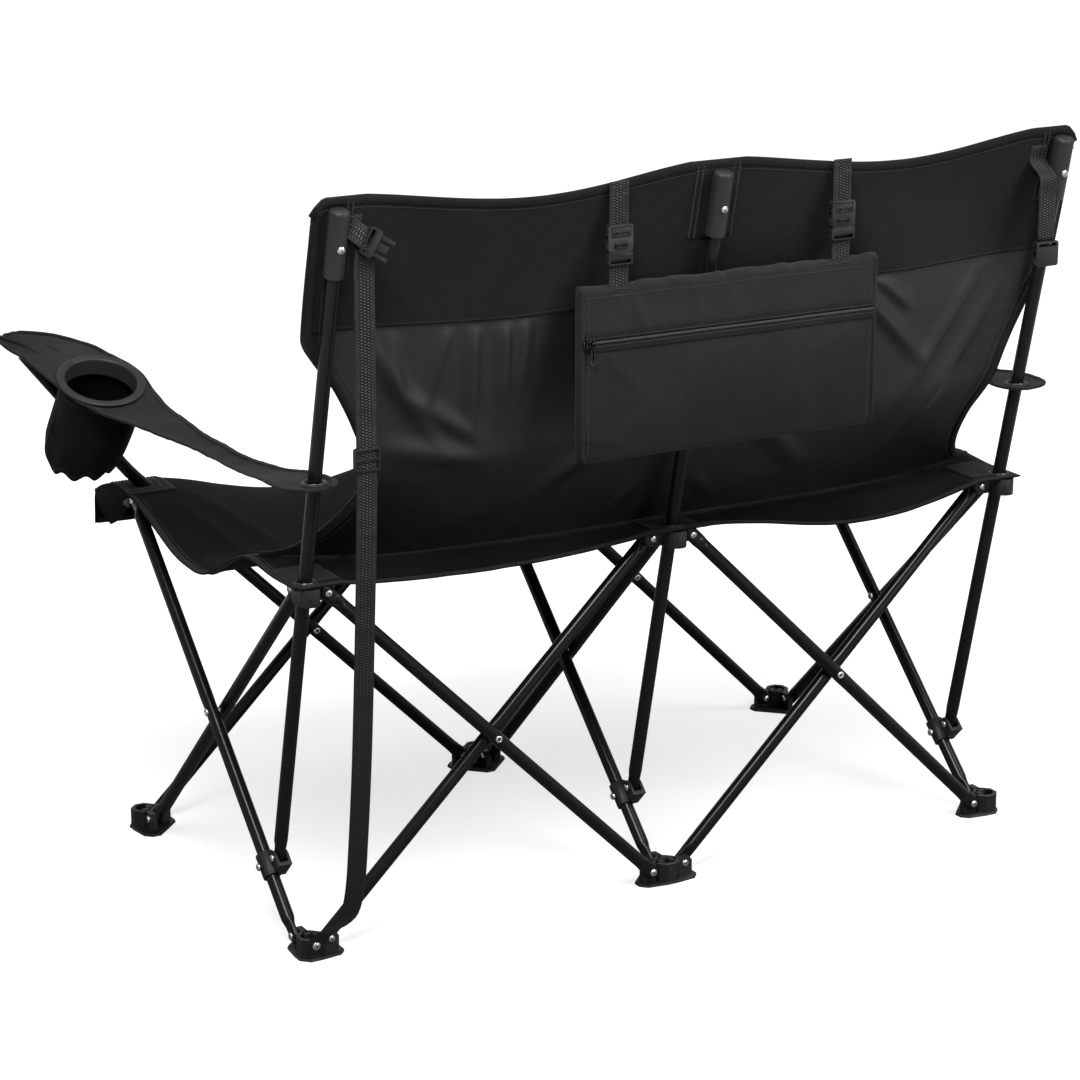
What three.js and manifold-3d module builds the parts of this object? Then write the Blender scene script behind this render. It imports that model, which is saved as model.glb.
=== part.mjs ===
// Folding camping loveseat: two seats side by side on a scissor frame of steel tube.
// Millimetres, +Z up. The sitters face -Y, and +X is their left.
// The rear hubs stand on y = 0, the front hubs on y = -bay, and the middle post on x = 0.
import * as THREE from "three";
import { mergeVertices } from "three/addons/utils/BufferGeometryUtils.js";
import Module from "manifold-3d";

const wasm = await Module();
wasm.setup();

// Frame layout. Both directions have the same spacing, so every scissor turns by the same angle.
const bay = 480;
const pivotReach = 25;
const footPivotHeight = 18;
const frameRise = 418;
const crossingPitch = 16.5;
const gap = 0.3;
const overrun = 1;

// Round tube, pinched flat where it is pinned to a hub and eased flat where two tubes cross
const tubeDiameter = 16;
const pinchWidth = 18;
const pinchThickness = 8;
const pinchRun = 12;
const pinchTaper = 24;
const pinchEnd = 9;
const crossWidth = 17.4;
const crossThickness = 14;
const crossRun = 14;
const crossTaper = 14;
const armTubeBend = 7;
const armTubeBendStart = 34;
const armTubeBendRun = 24;
const armTubeLength = 258;
const armTubeExtra = 4;

// Rivets and bolts
const pinRadius = 3;
const pinHoleRadius = 3.4;
const headRadius = 4.6;
const headHeight = 2;

// Moulded feet and hubs
const ringRadius = 15;
const footHeight = 31;
const soleThickness = 5;
const soleSpread = 9;
const socketRadius = 9;
const hubHeight = 20;
const lugRadius = 10;
const collarWall = 3.6;
const frontBlockHalfWidth = 8;
const frontBlockOuter = 12;
const frontBlockRise = 3;
const frontBlockDrop = 12;
const frontBlockRear = 14;
const frontLugThickness = 6;

// Back posts, their clamps and caps
const clampDistance = 92;
const clampOffset = 18;
const postAtRing = 1;
const postLength = 808;
const postFlat = 10;
const postSwing = 11.55;
const postTravel = 11.2;
const earThickness = 3.5;
const earRadius = 9;
const sleeveWall = 3;
const sleeveHalfLength = 15;
const bridgeDepth = 5;
const capRadius = 12;
const capLength = 77;
const capTop = 4;
const capRounding = 4;
const capScrewDrop = 42;

// Seat and back cloth
const clothThickness = 3;
const seatWidth = 1000;
const seatOverhang = 78;
const valanceDrop = 42;
const seatLift = 1.8;
const sideSag = 48;
const rearSag = 20;
const rearHollow = 30;
const frontSag = 40;
const middleSag = 24;
const postClearance = 0.7;
const backTop = 18;
const backDip = 9;
const backHalfWidth = 506;
const backWaist = 432;
const backBow = 13;
const backCorner = 26;
const wingReach = 62;
const backFoot = 34;

// Armrests and cup holders
const armThickness = 3;
const eyeletHeight = 568;
const eyeletBore = 9.4;
const eyeletBarrel = 11.6;
const eyeletFlange = 15.5;
const eyeletRim = 1.5;
const cupX = 555;
const cupY = -388;
const cupRingRadius = 53;
const cupBoreRadius = 42;
const cupRimHeight = 4;
const cupSleeveDepth = 16;
const cupSleeveWall = 2.4;
const cupTilt = 22.2;
const cupSides = 24;
const bagDepth = 108;
const bagBelly = 5;
const bagWall = 3;

// Storage pocket, its straps and buckles, and the loose webbing
const webbingWidth = 25;
const webbingThickness = 1.8;
const pocketWidth = 402;
const pocketHeight = 200;
const pocketThickness = 9;
const pocketDrop = 68;
const pocketShift = -13;
const strapSpacing = 298;
const strapAbovePost = 4;
const strapDrop = 48;
const socketWidth = 32;
const socketHeight = 30;
const buckleThickness = 9;
const socketWall = 2;
const plugInsert = 20;
const plugBaseHeight = 15;
const plugSlotHeight = 4;
const prongWidth = 5;
const prongGap = 3;
const windowHeight = 10;
const zipDrop = 62;
const zipInset = 14;
const stopInset = 4.5;
const stopWidth = 5;
const sliderSize = 9;
const sliderHeight = 4;
const pullLength = 20;
const pullThickness = 2;
const hangBelowPost = 6;
const hangSeam = 18;
const closingDrop = 112;
const loosePlugDrop = 30;
const loosePlugTurn = -121;
const lockDrop = 264;
const lockWidth = 30;
const lockLength = 26;
const lockThickness = 7;

const sectionSides = 10;
const bayCells = 8;
const depthCells = 5;
const valanceCells = 2;
const footEdgeShare = 0.55;

// Armrest outline: how far in front of the rear row each line across it lies, and where
// its inner and outer edges are, outwards from the post
const armOutline = [
  [-54, -8, 18],
  [-44, -21, 34],
  [-26, -27, 41],
  [14, -19, 41],
  [60, -7, 37.5],
  [130, 2, 34],
  [200, 6, 39],
  [250, 10, 56],
  [296, 13, 78],
  [326, 16, 94],
  [362, 19, 118],
  [403, 21, 132],
  [450, 50, 146],
  [483, 91, 156],
  [496, 120, 158],
  [503, 140, 158],
];
// The height of the armrest along the same lines. It lies flat under the cup holder's rim.
const armProfile = [
  [-54, 568],
  [14, 568],
  [60, 563],
  [130, 560],
  [200, 562],
  [250, 567],
  [296, 574],
  [326, 580],
  [450, 630.6],
  [483, 644],
  [503, 651],
];

const degree = Math.PI / 180;
const halfPitch = crossingPitch / 2;
const crossSpan = bay - 2 * pivotReach;
const crossLength = Math.hypot(crossSpan, frameRise);
const openAngle = Math.atan2(crossSpan, frameRise);
const topPivotHeight = footPivotHeight + frameRise;
const hubTop = topPivotHeight + hubHeight / 2;
const lugHalf = halfPitch - pinchThickness / 2 - gap;
const tubeRadius = tubeDiameter / 2;

// The bolt that carries a post, found along its side tube and square off it
const boltY = -pivotReach - clampDistance * Math.sin(openAngle) + clampOffset * Math.cos(openAngle);
const boltZ = footPivotHeight + clampDistance * Math.cos(openAngle) + clampOffset * Math.sin(openAngle);
const postLean = Math.atan2(postAtRing - boltY, topPivotHeight - boltZ);
const postAxisY = (z) => boltY + (z - boltZ) * Math.tan(postLean);
const postTop = boltZ + postLength * Math.cos(postLean);

// The pocket, its straps and the loose webbing all hang from the height of the post tops
const strapTop = postTop + strapAbovePost;
const socketTop = strapTop - strapDrop;
const pocketTop = socketTop - pocketDrop;
const hangTop = postTop - hangBelowPost;

const colours = {
  tube: { color: 0x131314, roughness: 0.28, metalness: 0.6 },
  moulding: { color: 0x161617, roughness: 0.55, metalness: 0 },
  cap: { color: 0x3b3e41, roughness: 0.5, metalness: 0 },
  cloth: { color: 0x1d1b1c, roughness: 0.95, metalness: 0 },
  webbing: { color: 0x201f1d, roughness: 0.9, metalness: 0 },
  metal: { color: 0x1b1b1c, roughness: 0.35, metalness: 0.8 },
};
const finishes = Object.fromEntries(
  Object.entries(colours).map(([name, look]) => [name, new THREE.MeshStandardMaterial(look)]),
);

// Booleans

function asSolid(geometry) {
  const bare = geometry.clone();
  bare.deleteAttribute("normal");
  bare.deleteAttribute("uv");
  const welded = mergeVertices(bare);
  const mesh = new wasm.Mesh({
    numProp: 3,
    vertProperties: new Float32Array(welded.attributes.position.array),
    triVerts: new Uint32Array(welded.index.array),
  });
  return new wasm.Manifold(mesh);
}

function asGeometry(solid) {
  const mesh = solid.getMesh();
  const geometry = new THREE.BufferGeometry();
  geometry.setAttribute("position", new THREE.BufferAttribute(mesh.vertProperties, 3));
  geometry.setIndex(new THREE.BufferAttribute(mesh.triVerts, 1));
  geometry.computeVertexNormals();
  return geometry;
}

function union(...geometries) {
  const solids = geometries.map(asSolid);
  const joined = solids.reduce((whole, solid) => whole.add(solid));
  return asGeometry(joined);
}

function subtract(geometry, ...cutters) {
  const cut = cutters.map(asSolid).reduce((rest, cutter) => rest.subtract(cutter), asSolid(geometry));
  return asGeometry(cut);
}

// Shapes

function box(width, depth, height, x = 0, y = 0, z = 0) {
  const shape = new THREE.BoxGeometry(width, depth, height);
  return shape.translate(x, y, z);
}

// A round bar along Y from one place to another
function barY(radius, from, to, x = 0, z = 0, sides = 6) {
  const bar = new THREE.CylinderGeometry(radius, radius, Math.abs(to - from), sides);
  return bar.translate(x, (from + to) / 2, z);
}

function barZ(radius, from, to, sides = 12) {
  const bar = new THREE.CylinderGeometry(radius, radius, to - from, sides);
  bar.rotateX(90 * degree);
  return bar.translate(0, 0, (from + to) / 2);
}

// A closed skin through rings of points, each ring counter-clockwise about the way it travels
function loft(rings) {
  const sides = rings[0].length;
  const positions = rings.flat().flatMap((point) => [point.x, point.y, point.z]);
  const middles = [rings[0], rings.at(-1)].map((ring) => {
    const sum = ring.reduce((total, point) => total.add(point), new THREE.Vector3());
    return sum.divideScalar(sides);
  });
  middles.forEach((point) => positions.push(point.x, point.y, point.z));
  const first = rings.length * sides;
  const last = first + 1;
  const end = (rings.length - 1) * sides;
  const triangles = [];
  for (let side = 0; side < sides; side += 1) {
    const next = (side + 1) % sides;
    for (let row = 0; row < end; row += sides) {
      triangles.push(row + side, row + next, row + next + sides);
      triangles.push(row + side, row + next + sides, row + side + sides);
    }
    triangles.push(first, next, side);
    triangles.push(last, end + side, end + next);
  }
  const geometry = new THREE.BufferGeometry();
  geometry.setAttribute("position", new THREE.Float32BufferAttribute(positions, 3));
  geometry.setIndex(triangles);
  return geometry;
}

// A slab of cloth over a grid of points, thickened by half to each side along the given normals
function cloth(columns, rows, place, normal, thickness) {
  const layer = (side) => {
    const points = [];
    for (let row = 0; row <= rows; row += 1) {
      for (let column = 0; column <= columns; column += 1) {
        const u = column / columns;
        const v = row / rows;
        points.push(place(u, v).addScaledVector(normal(u, v), (side * thickness) / 2));
      }
    }
    return points;
  };
  const points = [...layer(1), ...layer(-1)];
  const stride = columns + 1;
  const back = stride * (rows + 1);
  const triangles = [];
  const quad = (a, b, c, d) => triangles.push(a, b, c, a, c, d);
  for (let row = 0; row < rows; row += 1) {
    for (let column = 0; column < columns; column += 1) {
      const corner = row * stride + column;
      quad(corner, corner + 1, corner + stride + 1, corner + stride);
      quad(back + corner, back + corner + stride, back + corner + stride + 1, back + corner + 1);
    }
  }
  for (let column = 0; column < columns; column += 1) {
    const far = rows * stride + column;
    quad(column + 1, column, back + column, back + column + 1);
    quad(far, far + 1, back + far + 1, back + far);
  }
  for (let row = 0; row < rows; row += 1) {
    const left = row * stride;
    const right = left + columns;
    quad(left, left + stride, back + left + stride, back + left);
    quad(right + stride, right, back + right, back + right + stride);
  }
  const geometry = new THREE.BufferGeometry();
  const flat = points.flatMap((point) => [point.x, point.y, point.z]);
  geometry.setAttribute("position", new THREE.Float32BufferAttribute(flat, 3));
  geometry.setIndex(triangles);
  return geometry;
}

function interpolate(shares, at) {
  const upper = shares.findIndex(([place]) => place >= at);
  if (upper <= 0) return shares[Math.max(upper, 0)][1];
  const [fromPlace, fromValue] = shares[upper - 1];
  const [toPlace, toValue] = shares[upper];
  return THREE.MathUtils.mapLinear(at, fromPlace, toPlace, fromValue, toValue);
}

// Tubes

// One section of a tube: an ellipse that squares off as it is pinched flat
function tubeSection({ at, width, thickness, shift = 0, turn = 0 }) {
  const power = 0.5 + 0.5 * Math.min(1, thickness / width);
  const points = [];
  for (let side = 0; side < sectionSides; side += 1) {
    const angle = ((side + 0.5) / sectionSides) * 2 * Math.PI;
    const across = Math.sign(Math.cos(angle)) * Math.abs(Math.cos(angle)) ** power * (width / 2);
    const through = Math.sign(Math.sin(angle)) * Math.abs(Math.sin(angle)) ** power * (thickness / 2);
    const x = shift + across * Math.cos(turn);
    points.push(new THREE.Vector3(x, through, at - across * Math.sin(turn)));
  }
  return points;
}

const roundSection = (at, extra = {}) => ({ at, width: tubeDiameter, thickness: tubeDiameter, ...extra });

// A pinched end around a pivot: direction 1 runs up from it, -1 runs down into it
function pinchedEnd(pivot, direction, thickness = pinchThickness) {
  const flat = { width: pinchWidth, thickness };
  const sections = [
    { at: pivot - direction * pinchEnd, width: pinchWidth * 0.3, thickness },
    { at: pivot - direction * pinchEnd * 0.76, width: pinchWidth * 0.66, thickness },
    { at: pivot - direction * pinchEnd * 0.28, width: pinchWidth * 0.96, thickness },
    { at: pivot + direction * pinchRun, ...flat },
    roundSection(pivot + direction * (pinchRun + pinchTaper)),
  ];
  return direction > 0 ? sections : sections.reverse();
}

function easedCrossing(at) {
  const eased = { width: crossWidth, thickness: crossThickness };
  return [
    roundSection(at - crossRun - crossTaper),
    { at: at - crossRun, ...eased },
    { at: at + crossRun, ...eased },
    roundSection(at + crossRun + crossTaper),
  ];
}

// Above the seat the arm tube leans in by a small bend towards the armrest's tip
function armTubeSections(side) {
  const start = crossLength + armTubeBendStart;
  const bend = armTubeBend * degree;
  const half = bend / 2;
  const rise = armTubeBendRun * Math.cos(half);
  const lean = -armTubeBendRun * Math.sin(half);
  const rest = armTubeLength + side * armTubeExtra - armTubeBendStart - armTubeBendRun;
  return [
    roundSection(start),
    roundSection(start + rise / 2, { shift: lean * 0.3, turn: -half }),
    roundSection(start + rise, { shift: lean, turn: -bend }),
    roundSection(start + rise + rest * Math.cos(bend), {
      shift: lean - rest * Math.sin(bend),
      turn: -bend,
    }),
  ];
}

// A pin fused into the tube it turns with: a head on the tube, a shank through the other piece, a head beyond
function pin(height, tubeSide, farFace, side) {
  return [
    barY(headRadius, -side * (tubeSide + headHeight), -side * (tubeSide - overrun), 0, height, 8),
    barY(pinRadius, 0, side * (farFace + gap + overrun), 0, height),
    barY(headRadius, side * (farFace + gap), side * (farFace + gap + headHeight), 0, height, 8),
  ];
}

// side is 1 where the hubs lie on the tube's own +Y, -1 where they lie on its -Y.
// Tubes of side 1 carry the rivet of their crossing, and tubes of side -1 are drilled for it.
function crossTube({ side, arm = false }) {
  const middle = crossLength / 2;
  const top = arm
    ? [...easedCrossing(crossLength).slice(0, 3), ...armTubeSections(side)]
    : pinchedEnd(crossLength, -1);
  const sections = [...pinchedEnd(0, 1), ...easedCrossing(middle), ...top];
  let tube = loft(sections.map(tubeSection));
  if (arm) tube = mirrorToOutside(tube, side);
  const lugFace = halfPitch + lugHalf;
  const armLugFace = crossThickness / 2 + gap + frontLugThickness;
  const pins = [
    ...pin(0, pinchThickness / 2, lugFace, side),
    ...pin(crossLength, arm ? crossThickness / 2 : pinchThickness / 2, arm ? armLugFace : lugFace, side),
  ];
  if (side > 0) {
    pins.push(...pin(middle, crossThickness / 2, crossingPitch + crossThickness / 2, side));
    return union(tube, ...pins);
  }
  const drill = barY(pinHoleRadius, -tubeRadius - overrun, tubeRadius + overrun, 0, middle, 8);
  return union(subtract(tube, drill), ...pins);
}

// The right arm tube leans the other way in its own frame
function mirrorToOutside(tube, side) {
  if (side < 0) return tube;
  const mirrored = tube.clone().scale(-1, 1, 1);
  const index = mirrored.index.array;
  for (let corner = 0; corner < index.length; corner += 3) {
    [index[corner], index[corner + 1]] = [index[corner + 1], index[corner]];
  }
  return mirrored;
}

// Feet and hubs

// A flat lug reaching along +X, with chamfered corners and the hole of its pin
function lug(low, high, pivotHeight, thickness, reach = pivotReach) {
  const end = reach + lugRadius;
  const cut = lugRadius * footEdgeShare;
  const outline = new THREE.Shape();
  outline.moveTo(0, low);
  outline.lineTo(end - cut, low);
  outline.lineTo(end, low + cut);
  outline.lineTo(end, high - cut);
  outline.lineTo(end - cut, high);
  outline.lineTo(0, high);
  const hole = new THREE.Path();
  hole.absarc(reach, pivotHeight, pinHoleRadius, 0, 2 * Math.PI, true);
  outline.holes.push(hole);
  const plate = new THREE.ExtrudeGeometry(outline, { depth: thickness, bevelEnabled: false, curveSegments: 4 });
  plate.rotateX(90 * degree);
  return plate.translate(0, thickness / 2, 0);
}

function octagonPrism(bottomRadius, topRadius, from, to) {
  const prism = new THREE.CylinderGeometry(topRadius, bottomRadius, to - from, 8);
  prism.rotateY(22.5 * degree);
  prism.rotateX(90 * degree);
  return prism.translate(0, 0, (from + to) / 2);
}

// arms lists the compass turns, in degrees from +X, that the hub's lugs point in
function foot(arms) {
  const corner = ringRadius / Math.cos(22.5 * degree);
  const solePad = pivotReach + lugRadius;
  let body = union(
    octagonPrism(corner, corner, 0, footHeight),
    octagonPrism(corner + soleSpread, corner + soleSpread / 2, 0, soleThickness),
  );
  for (const turn of arms) {
    const arm = lug(0, footPivotHeight + lugRadius, footPivotHeight, 2 * lugHalf);
    const pad = octagonPrism(lugRadius + soleSpread / 2, lugRadius + soleSpread / 4, 0, soleThickness);
    pad.translate(solePad - lugRadius, 0, 0);
    const limb = union(arm, pad);
    limb.rotateZ(turn * degree);
    body = union(body, limb);
  }
  return subtract(body, barZ(socketRadius, soleThickness, footHeight + overrun, 12));
}

// The collar's bore is long in Y: the post slides and tilts in it while the frame folds
function rearHub(arms) {
  const lean = Math.tan(postLean) * (hubHeight / 2);
  const reach = tubeRadius / Math.cos(postLean) + lean + 2 * gap;
  const near = postAtRing - reach;
  const far = postAtRing + postTravel + reach;
  const halfWidth = tubeRadius + 2 * gap;
  const oblong = (radius, height) => {
    const outline = new THREE.Shape();
    const extra = radius - halfWidth;
    outline.absarc(0, far + extra - radius, radius, 0, Math.PI, false);
    outline.absarc(0, near - extra + radius, radius, Math.PI, 2 * Math.PI, false);
    const prism = new THREE.ExtrudeGeometry(outline, { depth: height, bevelEnabled: false, curveSegments: 6 });
    return prism.translate(0, 0, -height / 2);
  };
  let body = oblong(halfWidth + collarWall, hubHeight);
  for (const turn of arms) {
    const arm = lug(-lugRadius, lugRadius, 0, 2 * lugHalf);
    arm.rotateZ(turn * degree);
    body = union(body, arm);
  }
  return subtract(body, oblong(halfWidth, hubHeight + 2 * overrun));
}

function frontMiddleHub() {
  const core = octagonPrism(ringRadius, ringRadius, -hubHeight / 2, hubHeight / 2);
  const lugs = [0, 90, 180].map((turn) => lug(-lugRadius, lugRadius, 0, 2 * lugHalf).rotateZ(turn * degree));
  return union(core, ...lugs);
}

// Under the seat's front corners the arm tube runs past one face of the hub's inward lug,
// so only a low block joins that lug to the one behind it
function frontCornerHub(side) {
  const face = side * (halfPitch - crossThickness / 2 - gap);
  const middle = face - (side * frontLugThickness) / 2;
  const front = Math.min(face, face - side * frontLugThickness);
  const plate = lug(-frontBlockDrop, lugRadius, 0, frontLugThickness);
  plate.rotateZ(side > 0 ? 180 * degree : 0);
  plate.translate(0, middle, 0);
  const trim = box(
    pivotReach,
    frontLugThickness + 2 * overrun,
    lugRadius,
    side * (pivotReach / 2 - frontBlockHalfWidth),
    middle,
    lugRadius / 2 + frontBlockRise,
  );
  const blockWidth = frontBlockHalfWidth + frontBlockOuter;
  const block = box(
    blockWidth,
    frontBlockRear - front,
    frontBlockDrop + frontBlockRise,
    side * (blockWidth / 2 - frontBlockHalfWidth),
    (frontBlockRear + front) / 2,
    (frontBlockRise - frontBlockDrop) / 2,
  );
  const rear = lug(-frontBlockDrop, lugRadius, 0, 2 * lugHalf);
  rear.rotateZ(90 * degree);
  const clear = box(blockWidth, pivotReach, lugRadius, 0, 0, lugRadius / 2 + frontBlockRise);
  clear.translate(0, pivotReach / 2 - lugRadius + overrun, 0);
  return union(subtract(plate, trim), block, subtract(rear, clear));
}

// Posts

function backPost() {
  const flat = { width: pinchWidth, thickness: postFlat };
  const sections = [
    ...pinchedEnd(0, 1, postFlat).slice(0, 3),
    { at: pinchRun, ...flat },
    roundSection(pinchRun + pinchTaper),
    roundSection(postLength),
  ];
  const earFar = postFlat / 2 + gap + earThickness;
  const bolt = [
    barY(pinRadius, -earFar - gap - overrun, earFar + gap + overrun),
    barY(headRadius, earFar + gap, earFar + gap + headHeight, 0, 0, 8),
    barY(headRadius, -earFar - gap, -earFar - gap - headHeight, 0, 0, 8),
  ];
  return union(loft(sections.map(tubeSection)), ...bolt);
}

// In the side tube's own frame: a sleeve on the tube and two ears that hold the post's bolt
function postClamp() {
  const sleeveRadius = tubeRadius + sleeveWall;
  const sleeve = barZ(sleeveRadius, clampDistance - sleeveHalfLength, clampDistance + sleeveHalfLength, 16);
  const inner = postFlat / 2 + gap;
  const ear = (from) => {
    const disc = barY(earRadius, from, from + earThickness, -clampOffset, clampDistance, 12);
    const heel = box(
      2 * earRadius,
      earThickness,
      sleeveHalfLength,
      -clampOffset,
      from + earThickness / 2,
      clampDistance - sleeveHalfLength / 2,
    );
    return union(disc, heel);
  };
  const near = ear(-halfPitch + inner);
  const far = ear(-halfPitch - inner - earThickness);
  const bridgeHeight = sleeveHalfLength - earRadius - 3 * gap;
  const span = 2 * inner + 2 * earThickness;
  const bridge = box(
    clampOffset + earRadius,
    span,
    bridgeHeight,
    -(clampOffset + earRadius) / 2,
    -halfPitch,
    clampDistance - sleeveHalfLength + bridgeHeight / 2,
  );
  const boltHead = barY(headRadius, sleeveRadius - bridgeDepth, sleeveRadius + headHeight, 0, clampDistance, 8);
  const body = union(sleeve, near, far, bridge, boltHead);
  const swing = barY(earRadius + 3 * gap, -halfPitch - inner, -halfPitch + inner, -clampOffset, clampDistance, 16);
  const bore = barZ(
    tubeRadius + gap,
    clampDistance - sleeveHalfLength - overrun,
    clampDistance + sleeveHalfLength + overrun,
    16,
  );
  const boltHole = barY(
    pinHoleRadius,
    -halfPitch - inner - earThickness - overrun,
    -halfPitch + inner + earThickness + overrun,
    -clampOffset,
    clampDistance,
    8,
  );
  return subtract(body, swing, bore, boltHole);
}

// A closed sleeve over the post's top, in the post's own frame, with its screw head at the back
function postCap() {
  const top = postLength + capTop;
  const low = top - capLength;
  const bore = tubeRadius + gap;
  const profile = [
    [bore, low],
    [capRadius, low],
    [capRadius, top - capRounding],
    [capRadius - capRounding * 0.3, top - capRounding * 0.3],
    [capRadius - capRounding, top],
    [0, top],
    [0, postLength + gap],
    [bore, postLength + gap],
    [bore, low],
  ];
  const shell = new THREE.LatheGeometry(profile.map(([r, z]) => new THREE.Vector2(r, z)), 16);
  shell.rotateX(90 * degree);
  const screwHeight = top - capScrewDrop;
  const head = new THREE.CylinderGeometry(headRadius, headRadius, headHeight, 10);
  head.rotateZ(90 * degree);
  head.translate(-capRadius - headHeight * 0.3, 0, screwHeight);
  return union(shell, head);
}

// Cloth

const bump = (share, power) => Math.sin(Math.PI * THREE.MathUtils.clamp(share, 0, 1)) ** power;

// 0 over one hub, its lugs included, and 1 over the next one
const hubReach = pivotReach + lugRadius + 2;
const bayShare = (distance) => THREE.MathUtils.inverseLerp(hubReach, bay - hubReach, Math.abs(distance));

// Lines across one half of the seat's width, and from a hub row to the middle of the seat
const bayLines = Array.from({ length: bayCells + 1 }, (_, at) => (
  THREE.MathUtils.lerp(hubReach, bay - hubReach, at / bayCells)
));
const halfLines = [0, ...bayLines, seatWidth / 2];
const seatLines = [...halfLines.toReversed(), ...halfLines.slice(1).map((x) => -x)];
const depthLines = Array.from({ length: depthCells + 1 }, (_, at) => (
  THREE.MathUtils.lerp(hubReach, (bay - gap) / 2, at / depthCells)
));
const lineAt = (lines, share) => lines[Math.round(share * (lines.length - 1))];

// The middle of the seat cloth: tight at the six hubs, slack along the sides and between them
function seatHeight(x, y) {
  const across = bayShare(x);
  const along = y < 0 ? bayShare(y) : 0;
  const edge = bump(along, 2) * sideSag;
  const rear = bump(across, 1.5) * rearSag * (1 - THREE.MathUtils.clamp(along, 0, 1));
  const front = bump(across, 1.5) * frontSag * THREE.MathUtils.clamp(along, 0, 1);
  const middle = bump(across, 1.5) * bump(along, 1.5) * middleSag;
  return hubTop + seatLift - edge - rear - front - middle;
}

const upward = () => new THREE.Vector3(0, 0, 1);

// A cutter along a post, wide enough for it to pass through the cloth
function postCutter(x) {
  const cutter = barZ(tubeRadius + postClearance, boltY, postLength, 12);
  cutter.rotateX(-postLean);
  return cutter.translate(x, boltY, boltZ);
}

function armTubeCutter(side) {
  const cutter = barZ(tubeRadius + 3 * postClearance, crossLength - bay / 4, crossLength + bay / 4, 12);
  cutter.rotateY(side * openAngle);
  return cutter.translate(side * pivotReach, -bay + side * halfPitch, footPivotHeight);
}

// Between the hubs the rear edge runs forward of its tabs
function seatRearHalf() {
  const rear = tubeRadius + ringRadius;
  const place = (u, v) => {
    const x = lineAt(seatLines, u);
    const edge = rear - rearHollow * bump(bayShare(x), 0.7);
    const y = lineAt([edge, ...depthLines.map((depth) => -depth)], v);
    return new THREE.Vector3(x, y, seatHeight(x, y));
  };
  const sheet = cloth(seatLines.length - 1, depthLines.length, place, upward, clothThickness);
  return subtract(sheet, postCutter(-bay), postCutter(0), postCutter(bay));
}

// The front half ends in a valance that hangs over the front hubs
function seatFrontHalf() {
  const edge = -bay - seatOverhang;
  const lines = [...depthLines.toReversed().map((depth) => depth - bay), edge];
  const place = (u, v) => {
    const x = lineAt(seatLines, u);
    const row = Math.round(v * (lines.length + valanceCells - 1));
    const over = Math.max(0, row - lines.length + 1) / valanceCells;
    const y = lines[Math.min(row, lines.length - 1)];
    const round = over > 0 ? 2 * clothThickness : 0;
    return new THREE.Vector3(x, y - round, seatHeight(x, y) - over * valanceDrop);
  };
  const normal = (u, v) => {
    const row = Math.round(v * (lines.length + valanceCells - 1)) - lines.length + 1;
    return new THREE.Vector3(0, row < 0 ? 0 : -1, row > 0 ? 0 : 1).normalize();
  };
  const sheet = cloth(seatLines.length - 1, lines.length + valanceCells - 1, place, normal, clothThickness);
  return subtract(sheet, armTubeCutter(1), armTubeCutter(-1));
}

// The back cloth hangs in front of the posts. v runs from the top hem down to the seat.
function backPanel() {
  const topHeight = postLength + backTop;
  const clear = capRadius + gap + clothThickness / 2;
  const halfWidth = [[0, 1], [0.33, 1], [0.45, 0.965], [0.58, 0.89], [0.7, 0.855], [0.85, 0.87], [1, 0.94]];
  const place = (u, v) => {
    const side = 2 * u - 1;
    const edge = interpolate(halfWidth, v) * backHalfWidth;
    const x = side * edge;
    const corner = Math.max(0, Math.abs(x) - backHalfWidth + backCorner) ** 2 / backCorner;
    const bow = backBow * bump(bayShare(x), 2);
    const lowered = THREE.MathUtils.smoothstep(v, 0.7, 1);
    const wing = Math.abs(x / backHalfWidth) ** 4 * wingReach * lowered;
    const forward = clear - bow * (1 - lowered) + (backFoot - clear) * lowered + wing;
    const bottomY = -backFoot - Math.abs(x / backHalfWidth) ** 4 * wingReach;
    const bottomZ = seatHeight(x, bottomY) + clothThickness + gap;
    const bottomHeight = (bottomZ - boltZ) / Math.cos(postLean);
    const dip = backDip * bump(bayShare(x), 1.3);
    const height = THREE.MathUtils.lerp(topHeight - (corner + dip) * (1 - v), bottomHeight, v);
    const upper = new THREE.Vector3(x, -forward, height);
    upper.applyAxisAngle(new THREE.Vector3(1, 0, 0), -postLean);
    upper.add(new THREE.Vector3(0, boltY, boltZ));
    const seam = new THREE.Vector3(x, bottomY, bottomZ);
    return upper.lerp(seam, THREE.MathUtils.smoothstep(v, 0.8, 1));
  };
  const rearward = () => new THREE.Vector3(0, Math.cos(postLean), -Math.sin(postLean));
  return cloth(24, 12, (u, v) => place(1 - u, 1 - v), rearward, clothThickness);
}

// An armrest from the eyelet on its post to the tip of the arm tube
function armrest(side) {
  const lines = armOutline.length - 1;
  const place = (u, v) => {
    const [forward, inner, outer] = armOutline[Math.round((1 - v) * lines)];
    const x = bay + THREE.MathUtils.lerp(inner, outer, side > 0 ? u : 1 - u);
    return new THREE.Vector3(x * side, -forward, interpolate(armProfile, forward));
  };
  const sheet = cloth(4, lines, place, upward, armThickness);
  const cup = cupFrame(barZ(cupBoreRadius + cupSleeveWall + 2 * gap, -bagDepth, bagDepth, cupSides), side);
  const eyelet = barZ(eyeletBarrel + 2 * gap, -eyeletFlange, eyeletFlange, 16);
  eyelet.translate(side * bay, postAxisY(eyeletHeight), eyeletHeight);
  return subtract(sheet, eyelet, cup);
}

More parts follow.
